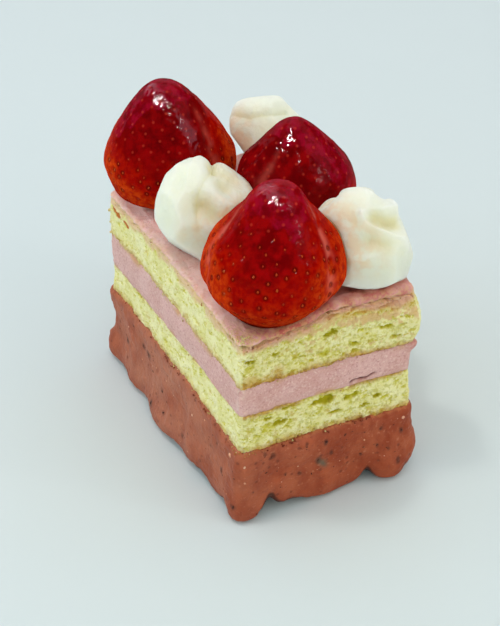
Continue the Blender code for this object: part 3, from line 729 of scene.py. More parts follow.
def make_sponge(name, below, above, seed, holes, spread=(), bulges=(), toasted=(), drag=()):
    """A sheet of sponge between two lines, rough at its cut sides, with the film at its edges."""
    travel = np.arange(0, PERIMETER, SPONGE_STEP)
    place, outward = rim(travel)
    short_face, front = np.abs(outward[:, 1]) > SQUARELY, outward[:, 1] < -SQUARELY
    share = np.linspace(0, 1, SPONGE_ROWS)[:, None]
    low, high = line_height(below, place) - 0.1, line_height(above, place)
    for turn, (tall, size) in enumerate(RAGGED_EDGES):
        low += tall * lumps(round_edge(travel), size, seed + 8 + turn)
        high += tall * lumps(round_edge(travel), size, seed + 10 + turn)
    spots = cut_side(place, low, high, share)
    across, height = spots[..., 0], spots[..., 2]
    outset = swellings(travel, spread) * (1 - share)
    outset = outset + swellings(travel, bulges) * np.sin(math.pi * share)
    outset += 0.12 + lumpy(spots, (0.30, 4.5, seed), (0.16, 1.9, seed + 1))
    outset -= 0.25 * blend(0.04, 0.0, share) + 0.05 * blend(0.96, 1.0, share)

    hole, toast, dragged, golden = (np.zeros_like(height) for mark in range(4))
    for middle, level, long, tall, depth in holes:
        reach = np.hypot((across - middle) / long, (height - level) / tall)
        reach += 0.35 * lumps(spots, 1.1, seed + 2)
        hole = np.maximum(hole, depth * blend(1.15, 0.55, reach))
    hole *= front
    outset -= hole * 0.9
    for at, level, size in toasted:
        reach = np.hypot((travel - at) / 2.8, height - level) / size
        reach += 0.25 * lumps(spots, 1.1, seed + 12)
        toast = np.maximum(toast, blend(1.25, 0.7, reach))
    if drag:
        away = height - np.interp(across, *np.array(drag).T) + 0.6 * lumps(spots, 2.4, seed + 3)
        broken = lumpy(spots, (0.7, 1.5, seed + 4), (0.45, 0.5, seed + 14))
        dragged = blend(0.25, 0.95, bell(away, DRAG_WIDTH) + broken) * front
        dragged *= 0.45 + 0.35 * blend(-12, -4, across)
        golden = front * blend(0.3, 1.6, away) * (0.8 + 0.5 * lumps(spots, 2.0, seed + 13))
        low_patch = bell(height - low - 1.2, 1.8) * blend(-4, -16, across)
        low_patch += 0.5 * lumps(spots, 1.6, seed + 15)
        golden = np.maximum(golden, front * blend(0.3, 1.1, low_patch))
    outset += 0.12 * dragged

    wave = 0.5 + 0.5 * lumps(spots, 2.6, seed + 5)
    low_film = bell(height - low, FILM_WIDTHS[0] + 0.35 * wave) * np.where(short_face, 1.0, 0.8)
    high_film = bell(high - height, FILM_WIDTHS[1] + 0.3 * wave) * np.where(short_face, 0.9, 0.2)
    film = np.maximum(low_film, high_film)
    film *= blend(-0.15, 0.4, wave + 0.45 * lumps(spots, 0.8, seed + 6))
    stain = blend(2.4, 0.3, high - height + 1.2 * lumps(spots, 2.0, seed + 7))
    stain *= np.where(short_face, 1.0, 0.8)
    rough = (1 - 0.3 * dragged) * np.where(short_face, 1.0, LONG_FACE_CRUMB)
    return cut_sheet(name, below, above, (0.8, 0.95), spots, outward, outset, open=rough,
                     hole=hole, drag=dragged, film=film, stain=stain, toast=toast, golden=golden)


finish = sponge_finish("lower sponge", 0.0)
sponge = make_sponge("sponge_sheet_lower", "coating_top", "mousse_bottom", 31, LOWER_HOLES,
                     spread=LOWER_SPREAD)
crumb.grow(sponge, pore_size=1.3, pore_depth=0.38, roughness=0.09, shift=0.0,
           material=finish.material)
placed(sponge, finish, "sponge", "sponge_lower")

finish = sponge_finish("upper sponge", 0.75)
sponge = make_sponge("sponge_sheet_upper", "mousse_top", "sponge_top", 41, UPPER_HOLES,
                     bulges=UPPER_BULGE, toasted=TOASTED, drag=DRAG)
crumb.grow(sponge, pore_size=1.15, pore_depth=0.36, roughness=0.10, shift=37.0,
           material=finish.material)
placed(sponge, finish, "sponge", "sponge_upper")


# --- The mousse between the sponges ----------------------------------------------------------
# A set pink mousse with small bubbles, cut smooth by the knife, which left faint drag lines
# and one crack in the short face.
CRACK = [(5.8, 32.0), (7.4, 32.5), (8.9, 32.3), (10.5, 32.0), (11.6, 32.3), (13.2, 32.5)]
CRACK_DEPTH, CRACK_WIDTH = 0.6, 0.20
# A curl of mousse that the knife pushed out at the right corner: (distance, height, size).
CURL = (45.2, 37.8, 1.5)
MOUSSE_STEP, MOUSSE_ROWS = 0.3, 40

travel = np.arange(0, PERIMETER, MOUSSE_STEP)
place, outward = rim(travel)
low, high = line_height("mousse_bottom", place), line_height("mousse_top", place)
share = np.linspace(-0.06, 1.06, MOUSSE_ROWS)[:, None]
spots = cut_side(place, low, high, share)
across, height = spots[..., 0], spots[..., 2]
outset = 0.1 + 0.22 * np.sin(math.pi * np.clip(share, 0, 1))
outset = outset + lumpy(spots, (0.16, 5.5, 51), (0.06, 1.3, 52), (0.05, 0.7, 57))
outset += 0.06 * lumps(spots * (0.25, 0.25, 1.5), 1.0, 53)
outset -= 0.5 * np.maximum(0, lumps(spots, 0.9, 54) - 0.62)
away = height - np.interp(across, *np.array(CRACK).T)
inside = blend(5.4, 6.6, across) * blend(13.6, 12.0, across) * (outward[:, 1] < -SQUARELY)
crack = inside * bell(away - 0.25 * lumps(spots, 0.8, 55), CRACK_WIDTH)
crack *= blend(-0.9, -0.3, lumps(spots, 1.1, 58))
outset -= CRACK_DEPTH * crack
bruise = inside * bell(away + 0.3, 0.7) * blend(-0.5, 0.4, lumps(spots, 1.2, 60))
bruise *= blend(12.5, 8.5, across)
on_curl = bell(height - CURL[1], 1.3)
outset += CURL[2] * bell(travel - CURL[0], 1.0) * on_curl
bruise = np.maximum(bruise, 0.9 * bell(travel - CURL[0], 1.3) * on_curl)
# A pale fleck painted down the near corner's edge: a painted highlight.
fleck = swellings(travel, [(0.0, 0.9, 1.0)]) * blend(-0.4, 0.4, lumps(spots, 1.4, 59))
outset -= 0.9 * (blend(0.0, -0.06, share) + blend(1.0, 1.06, share))
film = np.maximum(bell(height - low, 0.55), bell(high - height, 0.6))
film *= blend(-0.1, 0.5, lumps(spots, 2.2, 56))
mousse = cut_sheet("pink_mousse", "mousse_bottom", "mousse_top", (0.8, 0.93), spots, outward,
                   outset, film=film, crack=crack, fleck=fleck, bruise=bruise)

pink = Finish("pink mousse", 0.55, 0.15, sinks=(0.4, 2.0, (1.0, 0.7, 0.65)))
pink.cover(pink.patches(5.0, 3, 0.3, 0.7), (216, 167, 157), (226, 182, 174))
pink.lay(pink.patches(1.6, 3, 0.52, 0.70, 0, 0.4, stretch=(1, 1, 3)), (206, 150, 148))
pink.lay(pink.patches(0.6, 3, 0.54, 0.68, 0, 0.65, roughness=0.7), (240, 214, 202))
pink.lay(pink.patches(0.6, 3, 0.46, 0.32, 0, 0.6, roughness=0.7), (186, 126, 120))
pink.lay(pink.mark("film", 0.7), (206, 156, 98))
# Painted highlight on the near corner's edge.
pink.lay(pink.mark("fleck", 0.5), (246, 222, 200))
pink.lay(pink.mark("bruise", 0.6), (184, 108, 88))
# The crack painted dark: painted shade inside it.
pink.lay("crack", (96, 28, 20))
pink.raised(pink.grain(0.5, 3, 0.6), 0.34)
placed(mousse, pink, "mousse", "cream_middle")


# --- The strawberries --------------------------------------------------------------------------
# Three whole fruit, hulled and set on their cut ends.  Each has soft creases between its lobes
# and rows of seeds in pits, and was brushed with a clear glaze that fills the pits near the tip.
PROFILE_HEIGHTS = (0.0, 0.12, 0.30, 0.50, 0.68, 0.83, 0.94, 1.0)
# A crease is a line of (share of the height, bearing in degrees).  Ripe is how much riper it is
# all over, and the bearing where it is riper still and by how much; glazed is the height where
# the glaze sets in and where it is full; film is the height where its thicker skin ends, and
# the bearing where that runs lower and by how much; dark is how dark the ripest patches are,
# and the key after it how light the creases are painted, a painted highlight that is partly
# their paler skin; wet is the line of its ripples, like a crease, and its width.
BERRIES = {
    "front": dict(
        at=(-10.2, -27.2), radius=16.2, height=30.9, lean=(1.4, -0.6), seed=61,
        profile=(0.55, 0.77, 1.0, 0.93, 0.69, 0.46, 0.31, 0.0),
        creases=[[(0.20, 172), (0.42, 167), (0.62, 160), (0.80, 146)],
                 [(0.30, -66), (0.54, -57), (0.70, -48), (0.83, -27)]],
        ripe=(-0.11, -120, 0.40), glazed=(0.55, 0.85), film=(0.83, -88, 0.10), dark=0.10,
        pale=0.60, wet=([(0.985, 176), (0.965, -150), (0.945, -116)], 2.0)),
    "middle": dict(
        at=(11.4, 1.4), radius=14.5, height=26.9, lean=(-0.2, -0.7), seed=62,
        profile=(0.60, 0.86, 1.0, 0.93, 0.70, 0.46, 0.24, 0.0),
        creases=[[(0.20, -170), (0.85, -150)], [(0.20, 20), (0.80, 20)]],
        ripe=(0.34, -110, 0.10), glazed=(0.10, 0.50), film=(0.86, -48, 0.46), dark=0.40,
        pale=0.22, wet=([(0.925, -148), (0.81, -148)], 1.7)),
    "back": dict(
        at=(-8.4, 27.7), radius=16.1, height=29.8, lean=(-1.5, 0.5), seed=63,
        profile=(0.57, 0.95, 1.0, 0.88, 0.68, 0.49, 0.30, 0.0),
        creases=[[(0.20, -70), (0.60, -60), (0.85, -50)], [(0.20, 110), (0.80, 110)]],
        ripe=(0.05, -110, 0.28), glazed=(0.30, 0.70), film=(0.88, 165, 0.30), dark=0.45,
        pale=0.28, wet=([(0.972, 174), (0.95, -130), (0.90, -114), (0.85, -102), (0.74, -86),
                         (0.58, -77)], 1.5)),
}
# Each crease is a soft hollow with a narrow line down its middle: (depth, width in degrees).
CREASES = [(0.050, 15.0), (0.025, 5.0)]
# The skin that each seed has to itself, in square millimetres, how far one strays round the
# fruit, in radians, and up it, as a share of the height, and the lowest and highest share.
SEED_AREA = 0.866 * 3.3 ** 2
STRAY_ROUND, STRAY_UP = 0.09, 0.014
SEEDED = (0.02, 0.985)
GOLDEN_TURN = math.pi * (3 - math.sqrt(5))
# A pit's depth, how much of it full glaze fills, its width, and the welt round it: (share of
# its depth, distance from its middle, width).
PIT_DEPTH, PIT_FILLING, PIT_WIDTH = 0.24, 0.28, 0.5
PIT_WELT = (0.15, 1.5, 0.55)
# Seeds under more glaze than this don't show.
SEED_HIDING_GLAZE = 0.7
FILM_THICKNESS, WET_RIPPLES = 0.10, 0.055
# How far the film's run and the riper side reach round a fruit, in degrees.
RUN_WIDTH, RIPE_WIDTH = 26.0, 38.0
BERRY_ROWS, BERRY_COLUMNS = 150, 330
# How strongly those rows crowd towards the tip, and the share of the way to it of the last.
TIPWARD, LAST_ROW = 1.8, 0.997
# The gap between the toppings and the top cream that they stand on, and a distance that is
# far from any fruit.
GAP, FAR = 0.3, 30.0


def standing(at):
    """The height at which a topping stands on the cake."""
    return line_height("cake_top", np.array([at], float))[0] + GAP


def from_bearing(angle, bearing):
    """Degrees between angles round a fruit, in radians, and a bearing in degrees."""
    return (np.degrees(angle) - bearing + 180) % 360 - 180


def along_creases(berry, share, angle, width):
    """1 along a strawberry's creases, fading over a width in degrees to either side."""
    near = np.zeros_like(share + angle)
    for line in berry["creases"]:
        near = near + bell(from_bearing(angle, np.interp(share, *np.array(line).T)), width)
    return near


def berry_reach(berry, share, angle):
    """Distance from a strawberry's axis to its skin."""
    squares = smooth_curve(PROFILE_HEIGHTS, np.square(berry["profile"]), share)
    plain = berry["radius"] * np.sqrt(np.maximum(0, squares))
    hollow = sum(depth * along_creases(berry, share, angle, width) for depth, width in CREASES)
    return plain * (1 - hollow * np.sin(math.pi * share))


def berry_points(berry, share, angle):
    """Places on a strawberry's plain skin at shares of its height and angles round it."""
    (x, y), (lean_x, lean_y) = berry["at"], berry["lean"]
    reach = berry_reach(berry, share, angle)
    return np.stack([x + lean_x * share + reach * np.cos(angle),
                     y + lean_y * share + reach * np.sin(angle),
                     standing(berry["at"]) + berry["height"] * share], -1)


def seeds_of(berry, share):
    """Rows and columns of a strawberry's seeds, which wind up it by the golden turn."""
    steps = np.linspace(*SEEDED, 400)
    radii = berry_reach(berry, steps, np.zeros_like(steps))
    slant = np.hypot(np.gradient(radii, steps), berry["height"])
    area = np.cumsum(2 * math.pi * radii * slant * np.gradient(steps))
    area[0] = 0
    seeds = np.arange(int(area[-1] / SEED_AREA))
    random = np.random.default_rng(berry["seed"])
    angle = seeds * GOLDEN_TURN + random.uniform(-STRAY_ROUND, STRAY_ROUND, len(seeds))
    height = np.interp((seeds + 0.5) / len(seeds) * area[-1], area, steps)
    height = np.clip(height + random.uniform(-STRAY_UP, STRAY_UP, len(seeds)), *SEEDED)
    rows = np.searchsorted(share[:, 0], height).clip(1, BERRY_ROWS - 2)
    return rows, np.round(angle / (2 * math.pi) * BERRY_COLUMNS).astype(int) % BERRY_COLUMNS


def make_berry(berry):
    """A strawberry's skin, its marks, and its seeds: (place, way out, glaze over it)."""
    seed = berry["seed"]
    share = 1 - (1 - np.linspace(0, LAST_ROW, BERRY_ROWS)) ** TIPWARD
    angle = np.linspace(0, 2 * math.pi, BERRY_COLUMNS, endpoint=False)
    share, angle = np.meshgrid(share, angle, indexing="ij")
    rings = berry_points(berry, share, angle)
    rings[0, :, 2] = line_height("cake_top", rings[0]) + GAP
    body = np.minimum(1, 6 * share) * blend(1.0, 0.97, share)
    swell = body * lumpy(rings, (0.35, 8.0, seed), (0.10, 3.4, seed + 10))
    rings += ways_out(rings) * swell[..., None]
    way = ways_out(rings)

    # pits under the seeds, shallower near the tip, where the glaze fills them
    seeds = seeds_of(berry, share)
    seed_places = rings[seeds]
    glaze = blend(*berry["glazed"], share + 0.10 * lumps(rings, 6.0, seed + 20))
    depth = (PIT_DEPTH - PIT_FILLING * glaze) * body
    away = np.array([np.linalg.norm(row[:, None] - seed_places, axis=-1).min(axis=-1)
                     for row in rings])
    welt_share, welt_place, welt_width = PIT_WELT
    pit, welt = bell(away, PIT_WIDTH), bell(away - welt_place, welt_width)
    rings += way * (-depth * pit + welt_share * depth * welt)[..., None]
    gloss_lumps = lumpy(rings, (0.07, 2.6, seed + 30), (0.03, 1.2, seed + 31))
    rings += way * (glaze * body * gloss_lumps)[..., None]

    # where the glaze lies thickest it set in fine curled ripples, which catch the light
    line, width = berry["wet"]
    heights, bearings = np.array(line, float).T
    at, stops = np.linspace(0, len(line) - 1, 40), np.arange(len(line))
    trail = berry_points(berry, np.interp(at, stops, heights),
                         np.interp(at, stops, np.unwrap(np.radians(bearings))))
    away = np.min([np.linalg.norm(rings - spot, axis=-1) for spot in trail], axis=0)
    wet = blend(1.5 * width, 0.6 * width, away + 0.5 * lumps(rings, 1.5, seed + 44))
    curls = lumpy(rings, (1.0, 2.4, seed + 45), (0.30, 1.0, seed + 46))
    rings += way * (WET_RIPPLES * wet * np.cos(2 * math.pi * curls))[..., None]

    # a thicker skin of glaze over the tip, which ran down one side and stopped in a wavy edge
    start, bearing, drop = berry["film"]
    edge = start - drop * bell(from_bearing(angle, bearing), RUN_WIDTH)
    waves = lumpy(rings, (0.06, 3.0, seed + 32), (0.05, 1.3, seed + 33))
    film = blend(0.0, 0.035, share - edge + waves)
    rings += way * (FILM_THICKNESS * film * body)[..., None]

    # riper and darker towards the tip and down one side, and painted lighter along the creases: a
    # painted highlight there, partly their paler skin
    start, bearing, more = berry["ripe"]
    patches = lumpy(rings, (0.16, 7.0, seed + 40), (0.08, 2.5, seed + 41))
    aside = more * bell(from_bearing(angle, bearing), RIPE_WIDTH)
    ripe = blend(0.32, 1.0, share + start + aside + patches)
    streak = along_creases(berry, share, angle, 4.0) * blend(0.14, 0.40, share)
    streak *= blend(0.90, 0.70, share) * berry["pale"]
    streak *= blend(-0.7, 0.3, lumps(rings, 2.2, seed + 42))
    marks = dict(pit=pit, glaze=glaze, wet=wet, rise=share, film=film, ripe=ripe, streak=streak)
    return rings, marks, zip(seed_places, way[seeds], glaze[seeds])


def berry_finish(name, dark):
    """Strawberry flesh under a clear glaze: crimson at its tip, more orange low down and aside."""
    flesh = Finish(name, 0.5, 0.0, sinks=(0.12, 2.0, (1.0, 0.12, 0.05)), Coat_IOR=1.4,
                   Coat_Roughness=0.07)
    rise, pit, glaze, ripe = (flesh.mark(label) for label in ("rise", "pit", "glaze", "ripe"))
    mottled = flesh.patches(1.4, 4, 0.38, 0.64, roughness=0.6)
    low = flesh.mix(mottled, (174, 33, 4), (202, 62, 10))
    middle = flesh.mix(mottled, (144, 5, 2), (166, 18, 3))
    high = flesh.mix(flesh.patches(2.6, 3, 0.35, 0.65, roughness=0.6), (108, 2, 4), (148, 6, 8))
    high = flesh.mix(flesh.patches(6.0, 2, 0.35, 0.6, 0.5 * dark, dark), high, (78, 2, 6))
    flesh.cover(flesh.ramp(ripe, 0.0, 0.5), low, middle)
    flesh.lay(flesh.ramp(ripe, 0.5, 1.0), high)
    cloudy = flesh.patches(2.2, 4, 0.42, 0.62, 0.12, 0.65, roughness=0.6)
    flesh.lay(flesh.times(flesh.mark("film"), cloudy), (152, 12, 40))
    # Painted highlight along the creases, partly their paler skin.
    flesh.lay("streak", (214, 104, 88))
    # Painted shade: dark rings in the seed pits, where the glaze doesn't fill them.
    ring = flesh.times(flesh.ramp(pit, 0.12, 0.7), flesh.ramp(glaze, 0.8, 0.2, 0.0, 0.75))
    flesh.lay(flesh.times(ring, flesh.patches(5.0, 1, 0.38, 0.60, 0.3, 1.0)), (84, 8, 2))
    dot = flesh.times(flesh.ramp(pit, 0.6, 1.0), flesh.ramp(glaze, 0.3, 0.8, 0.0, 0.30))
    flesh.lay(dot, (210, 66, 46))
    # Painted shade under the fruit's widest part, darkest at its foot on the cake.
    flesh.lay(flesh.ramp(rise, 0.32, 0.02, 0.0, 0.42), (112, 12, 4))
    flesh.lay(flesh.ramp(rise, 0.07, 0.0, 0.0, 0.8), (70, 6, 3))
    flesh.raised(flesh.grain(0.9, 2), 0.04)
    coat = flesh.math("MAXIMUM", flesh.ramp(glaze, 0.0, 1.0, 0.04, 0.09), flesh.mark("wet", 0.62))
    flesh.tree.links.new(coat, flesh.sockets["Coat Weight"])
    flesh.raised(flesh.grain(1.1, 1), 0.04, "Coat Normal")
    return flesh


seed_spots = []
seed_chance = np.random.default_rng(64)
for name, berry in BERRIES.items():
    rings, marks, seeds = make_berry(berry)
    fruit = solid("strawberry_fruit_" + name, rings, **marks)
    placed(fruit, berry_finish("strawberry " + name, berry["dark"]), "strawberry",
           "strawberry_" + name)
    for at, way, glazed in seeds:
        if glazed < SEED_HIDING_GLAZE:
            seed_spots.append((at - way * (PIT_DEPTH - 0.10 * glazed), way, 0.82 - 0.25 * glazed,
                               math.atan2(way[1], way[0]) + math.pi / 2, seed_chance.random()))


# --- The strawberries' seeds ---------------------------------------------------------------------
# Small golden seeds, drop-shaped and flat, one in each pit with its point up the fruit.  Those
# that lie deep under the glaze don't show, and are left out above.
golden = Finish("strawberry seeds", 0.35, 0.0, sinks=(0.1, 0.4), Coat_Weight=0.08,
                Coat_Roughness=0.1)
golden.cover("shade", (180, 72, 30), (152, 34, 16))
drop = chip_shape((0.62, 1.0, 0.5), roughness=0.05, seed=71, taper=0.8)
scattered("strawberry_seeds", "strawberry", golden, drop, seed_spots, seed=8, spread=0.15)


# --- The top cream -----------------------------------------------------------------------------
# A thin layer of the pink cream over the upper sponge.  It is moist, wrinkled where it was
# spread, pressed up round the fruit and stained by its juice, and rounded at its cut edge.
# The juice stain also carries painted shade round the fruit's foot and along the short cut side,
# with a painted contact shadow under the fruit and painted light beside it on the long side.
TOP_STEP, TOP_ROWS = 0.36, 62
# A fruit's foot as a share of its radius.
FOOT_SHARE = 0.62
# Its edge: (share of the layer's height, how far it stands out), and faces between its rings.
TOP_PROFILE = [
    (0.0, -1.2), (0.16, -0.52), (0.45, -0.12), (0.70, -0.45), (0.88, -1.25), (1.0, -2.9),
]
EDGE_STEPS = [2, 3, 3, 3, 3, 5]
# Smears of it that hang down over the sponge: (distance round the slice, length, size).
TOP_DRIPS = [(0.0, 6.0, -1.1), (2.2, 0.7, 0.8), (4.2, 0.8, 0.6), (-1.8, 0.8, 0.5), (8.5, 1.0, 0.6),
             (29.0, 2.0, 0.6), (44.0, 1.5, 0.7), (228.0, 2.5, 0.6), (185.0, 3.0, 0.4)]

travel = np.arange(0, PERIMETER, TOP_STEP)
place, outward = rim(travel)
low, high = line_height("sponge_top", place) - 0.2, line_height("cake_top", place)
low -= swellings(travel, TOP_DRIPS) + lumpy(round_edge(travel), (0.35, 2.2, 86), (0.25, 0.9, 87))
rings = [on_line("sponge_top", place * 0.9)]
for share, outset in TOP_PROFILE:
    drawn_in = np.array([1 + 2 * outset / WIDTH, 1 + 2 * outset / LENGTH])
    rings.append(np.column_stack([place * drawn_in, low * (1 - share) + high * share]))
edge_rings = smoothed(rings, EDGE_STEPS)
inwards = np.linspace(1, 0.02, TOP_ROWS)[1:]
caps = [on_line("cake_top", edge_rings[-1][:, :2] * share) for share in inwards]
rings = np.concatenate([edge_rings, np.array(caps)])
row = np.arange(len(rings))[:, None]
near_fruit = np.full(rings.shape[:2], FAR)
for berry in BERRIES.values():
    away = np.linalg.norm(rings[..., :2] - berry["at"], axis=-1) - berry["radius"] * FOOT_SHARE
    near_fruit = np.minimum(near_fruit, np.maximum(away, 0))
way = ways_out(rings)
cap_share = blend(len(edge_rings) - 6, len(edge_rings) + 2, row)
by_fruit = bell(near_fruit, 3.5)
wrinkle = lumps(rings * (1.0, 0.5, 1.0), 1.6, 81) * (0.12 + 0.16 * by_fruit)
wrinkle += 0.2 * lumps(rings, 4.0, 82) + lumps(rings, 0.8, 83) * (0.06 + 0.08 * by_fruit)
welt = 0.35 * bell(near_fruit - 1.0, 0.9)
edge_lumps = lumpy(rings, (0.16, 2.0, 84), (0.12, 0.9, 85), (0.06, 0.5, 88))
rings = rings + way * ((wrinkle + welt) * cap_share + edge_lumps * (1 - cap_share))[..., None]
# Partly real juice stain and partly painted shade: darker round the fruit's foot and along the
# short cut side.
short_side = blend(-24.0, -33.0, rings[..., 1]) * blend(-21.5, -15.0, rings[..., 0])
juice = bell(near_fruit, 1.0 + 1.8 * short_side) * (0.08 + 0.92 * short_side)
juice += 0.65 * short_side * blend(-4.0, 6.0, rings[..., 0])
juice = np.clip(juice + 0.35 * short_side * lumps(rings, 2.4, 89), 0, 1)
near_corner = bell(np.hypot(rings[..., 0] + WIDTH / 2, rings[..., 1] + LENGTH / 2), 4.5)
edge = np.clip(0.8 * blend(0.6, -0.5, row / len(edge_rings) - 0.45) + 0.7 * near_corner, 0, 0.9)
# Painted light: the cream beside the fruit on the long side painted lighter, against its shade.
sheltered = by_fruit * (1 - short_side) * blend(-34.0, -28.0, rings[..., 1])
top_cream = solid("pink_top_cream", rings, juice=juice, edge=edge, sheltered=sheltered)

moist = Finish("pink top cream", 0.5, 0.15, sinks=(0.5, 2.0, (1.0, 0.6, 0.5)))
moist.cover(moist.patches(3.0, 3, 0.3, 0.7), (229, 179, 168), (236, 194, 185))
moist.lay(moist.patches(0.8, 3, 0.52, 0.72, 0, 0.5), (206, 134, 126))
# Painted light beside the fruit.
moist.lay(moist.mark("sheltered", 0.7), (255, 207, 194))
# Juice stain with painted shade.
moist.lay(moist.mark("juice", 0.88), (184, 78, 64))
# Painted contact shadow: dark where the juice mark is strongest, away from the cut edge.
pooled = moist.times(moist.ramp(moist.mark("juice"), 0.80, 1.0),
                     moist.ramp(moist.mark("edge"), 0.35, 0.05, 0, 0.7))
moist.lay(pooled, (96, 34, 28))
moist.lay(moist.times(moist.mark("edge"), moist.patches(0.9, 3, 0.40, 0.58)), (220, 186, 128))
moist.raised(moist.grain(0.6, 3, 0.6), 0.28)
placed(top_cream, moist, "top_cream", "cream_top")


# --- The piped cream --------------------------------------------------------------------------
# Three dollops of whipped cream from a plain nozzle, pressed against the fruit, where they
# slumped and set with soft flat sides and folds.
CREAM_ROWS, CREAM_COLUMNS = 140, 280
FLAT_SHARPNESS = 48
CREAM_CLEARANCE = 0.12
# Each is a ball with flats, (bearing, elevation, distance from its middle), and folds, (places
# along it, height, width in degrees, crisp).  A fold is a ridge, or a valley where its height
# is negative, between places named by their bearing from +X and their elevation above the
# dollop's middle, in degrees; a crisp one comes to an edge.
CREAMS = {
    "left": dict(
        at=(-12.8, 1.6), radius=13.0, middle=9.0, seed=91,
        flats=[
            (95, 55, 12.5), (117, 46, 12.0), (144, 20, 11.3), (156, 2, 11.2), (175, -25, 10.5),
            (-163, -40, 10.1), (9, 43, 12.1), (-117, 37, 11.0), (-60, 55, 11.3), (-150, 58, 11.8),
            (-165, 15, 11.4), (-120, -8, 10.9), (-75, 5, 11.0), (60, 0, 11.3), (0, -5, 11.1),
            (105, 0, 11.4),
        ],
        folds=[
            ([(48, 38), (46, 52), (32, 64), (-10, 76)], -2.6, 6, True),
            ([(-20, 76), (-112, 66), (-127, 46), (-124, 27), (-120, 12)], -0.7, 5, True),
            ([(-24, 52), (-16, 60)], -1.2, 12, False), ([(-112, 38), (-100, 26)], -1.6, 9, False),
            ([(-70, 58), (-67, 51)], -1.1, 8, False), ([(-60, 40), (-88, 42)], 0.6, 6, False),
            ([(-95, 54), (-82, 60)], 0.5, 6, False),
            ([(67, 62), (178, 75), (-148, 54), (-150, 30)], 0.4, 4, True),
            ([(90, 58), (150, 62), (-170, 48), (-168, 25)], 0.4, 4, True),
        ]),
    "right": dict(
        at=(14.2, -27.4), radius=13.2, middle=8.4, seed=92,
        flats=[
            (125, 32, 13.1), (107, 47, 13.0), (63, 58, 11.9), (0, 41, 9.8), (-17, 24, 9.0),
            (-23, 17, 9.1), (-42, -10, 10.9), (-81, -45, 11.3), (-105, -52, 10.9),
            (-139, -53, 10.9), (-117, 37, 10.4), (-70, 48, 10.5), (-145, 50, 11.4),
            (-110, 0, 10.6), (-60, 0, 10.4), (25, 0, 9.6), (70, 0, 10.6), (115, 0, 11.4),
            (160, 0, 11.4), (-160, 0, 11.2),
        ],
        folds=[
            ([(98, 30), (110, 41), (122, 50), (140, 45)], -1.3, 6, True),
            ([(10, 74), (25, 60), (36, 50), (37, 30)], -3.2, 6.5, False),
            ([(-14, 69), (-38, 57), (-72, 67), (-110, 69), (-137, 61)], 1.3, 6, True),
            ([(-137, 61), (-126, 54), (-104, 48), (-83, 37), (-71, 28), (-68, 14)], 1.3, 5, True),
            ([(-102, 59), (-81, 52), (-60, 46)], -1.7, 8, False),
            ([(-116, 33), (-95, 26)], -1.1, 11, False),
        ]),
    "back": dict(
        at=(18.2, 30.3), radius=10.6, middle=6.8, seed=93,
        flats=[
            (141, 21, 9.6), (101, 55, 9.9), (71, 61, 9.2), (-2, 40, 9.7), (158, -8, 8.1),
            (173, -30, 6.7), (-117, 37, 8.7), (-155, 30, 8.8), (-60, 40, 8.9), (-85, 0, 8.5),
            (15, 0, 9.0), (75, 0, 8.7), (115, 0, 9.0),
        ],
        folds=[([(143, 20), (153, 30), (-153, 50), (-80, 57), (-42, 48)], -0.8, 6, True)]),
}


def direction(bearing, elevation):
    b, e = np.radians(bearing), np.radians(elevation)
    return np.stack([np.cos(b) * np.cos(e), np.sin(b) * np.cos(e), np.sin(e)], -1)


def degrees_to_fold(ways, fold):
    """Angles from directions to the nearest place on a fold's line."""
    nearest = np.full(ways.shape[:-1], 180.0)
    stops = direction(*np.array(fold, float).T)
    for start, end in zip(stops, stops[1:]):
        run = end - start
        share = np.clip((ways - start) @ run / (run @ run), 0, 1)
        spot = start + run * share[..., None]
        spot /= np.linalg.norm(spot, axis=-1, keepdims=True)
        apart = np.degrees(np.arccos(np.clip((ways * spot).sum(-1), -1, 1)))
        nearest = np.minimum(nearest, apart)
    return nearest


def clear_of_fruit(points):
    """Points of a dollop moved out of the strawberries, and how near each is to the fruit."""
    nearest = np.full(points.shape[:-1], FAR)
    for berry in BERRIES.values():
        share = (points[..., 2] - standing(berry["at"])) / berry["height"]
        inside = np.clip(share, 0, 0.999)
        away = points[..., :2] - berry["at"] - np.array(berry["lean"]) * inside[..., None]
        length = np.linalg.norm(away, axis=-1)
        angle = np.arctan2(away[..., 1], away[..., 0])
        reach = berry_reach(berry, inside, angle) + CREAM_CLEARANCE
        beside = (share >= 0) & (share < 1)
        nearest = np.where(beside, np.minimum(nearest, np.maximum(0, length - reach)), nearest)
        push = np.where(beside, np.maximum(0, reach - length), 0)
        points[..., :2] += away / np.maximum(length, 1e-6)[..., None] * push[..., None]
    return points, nearest


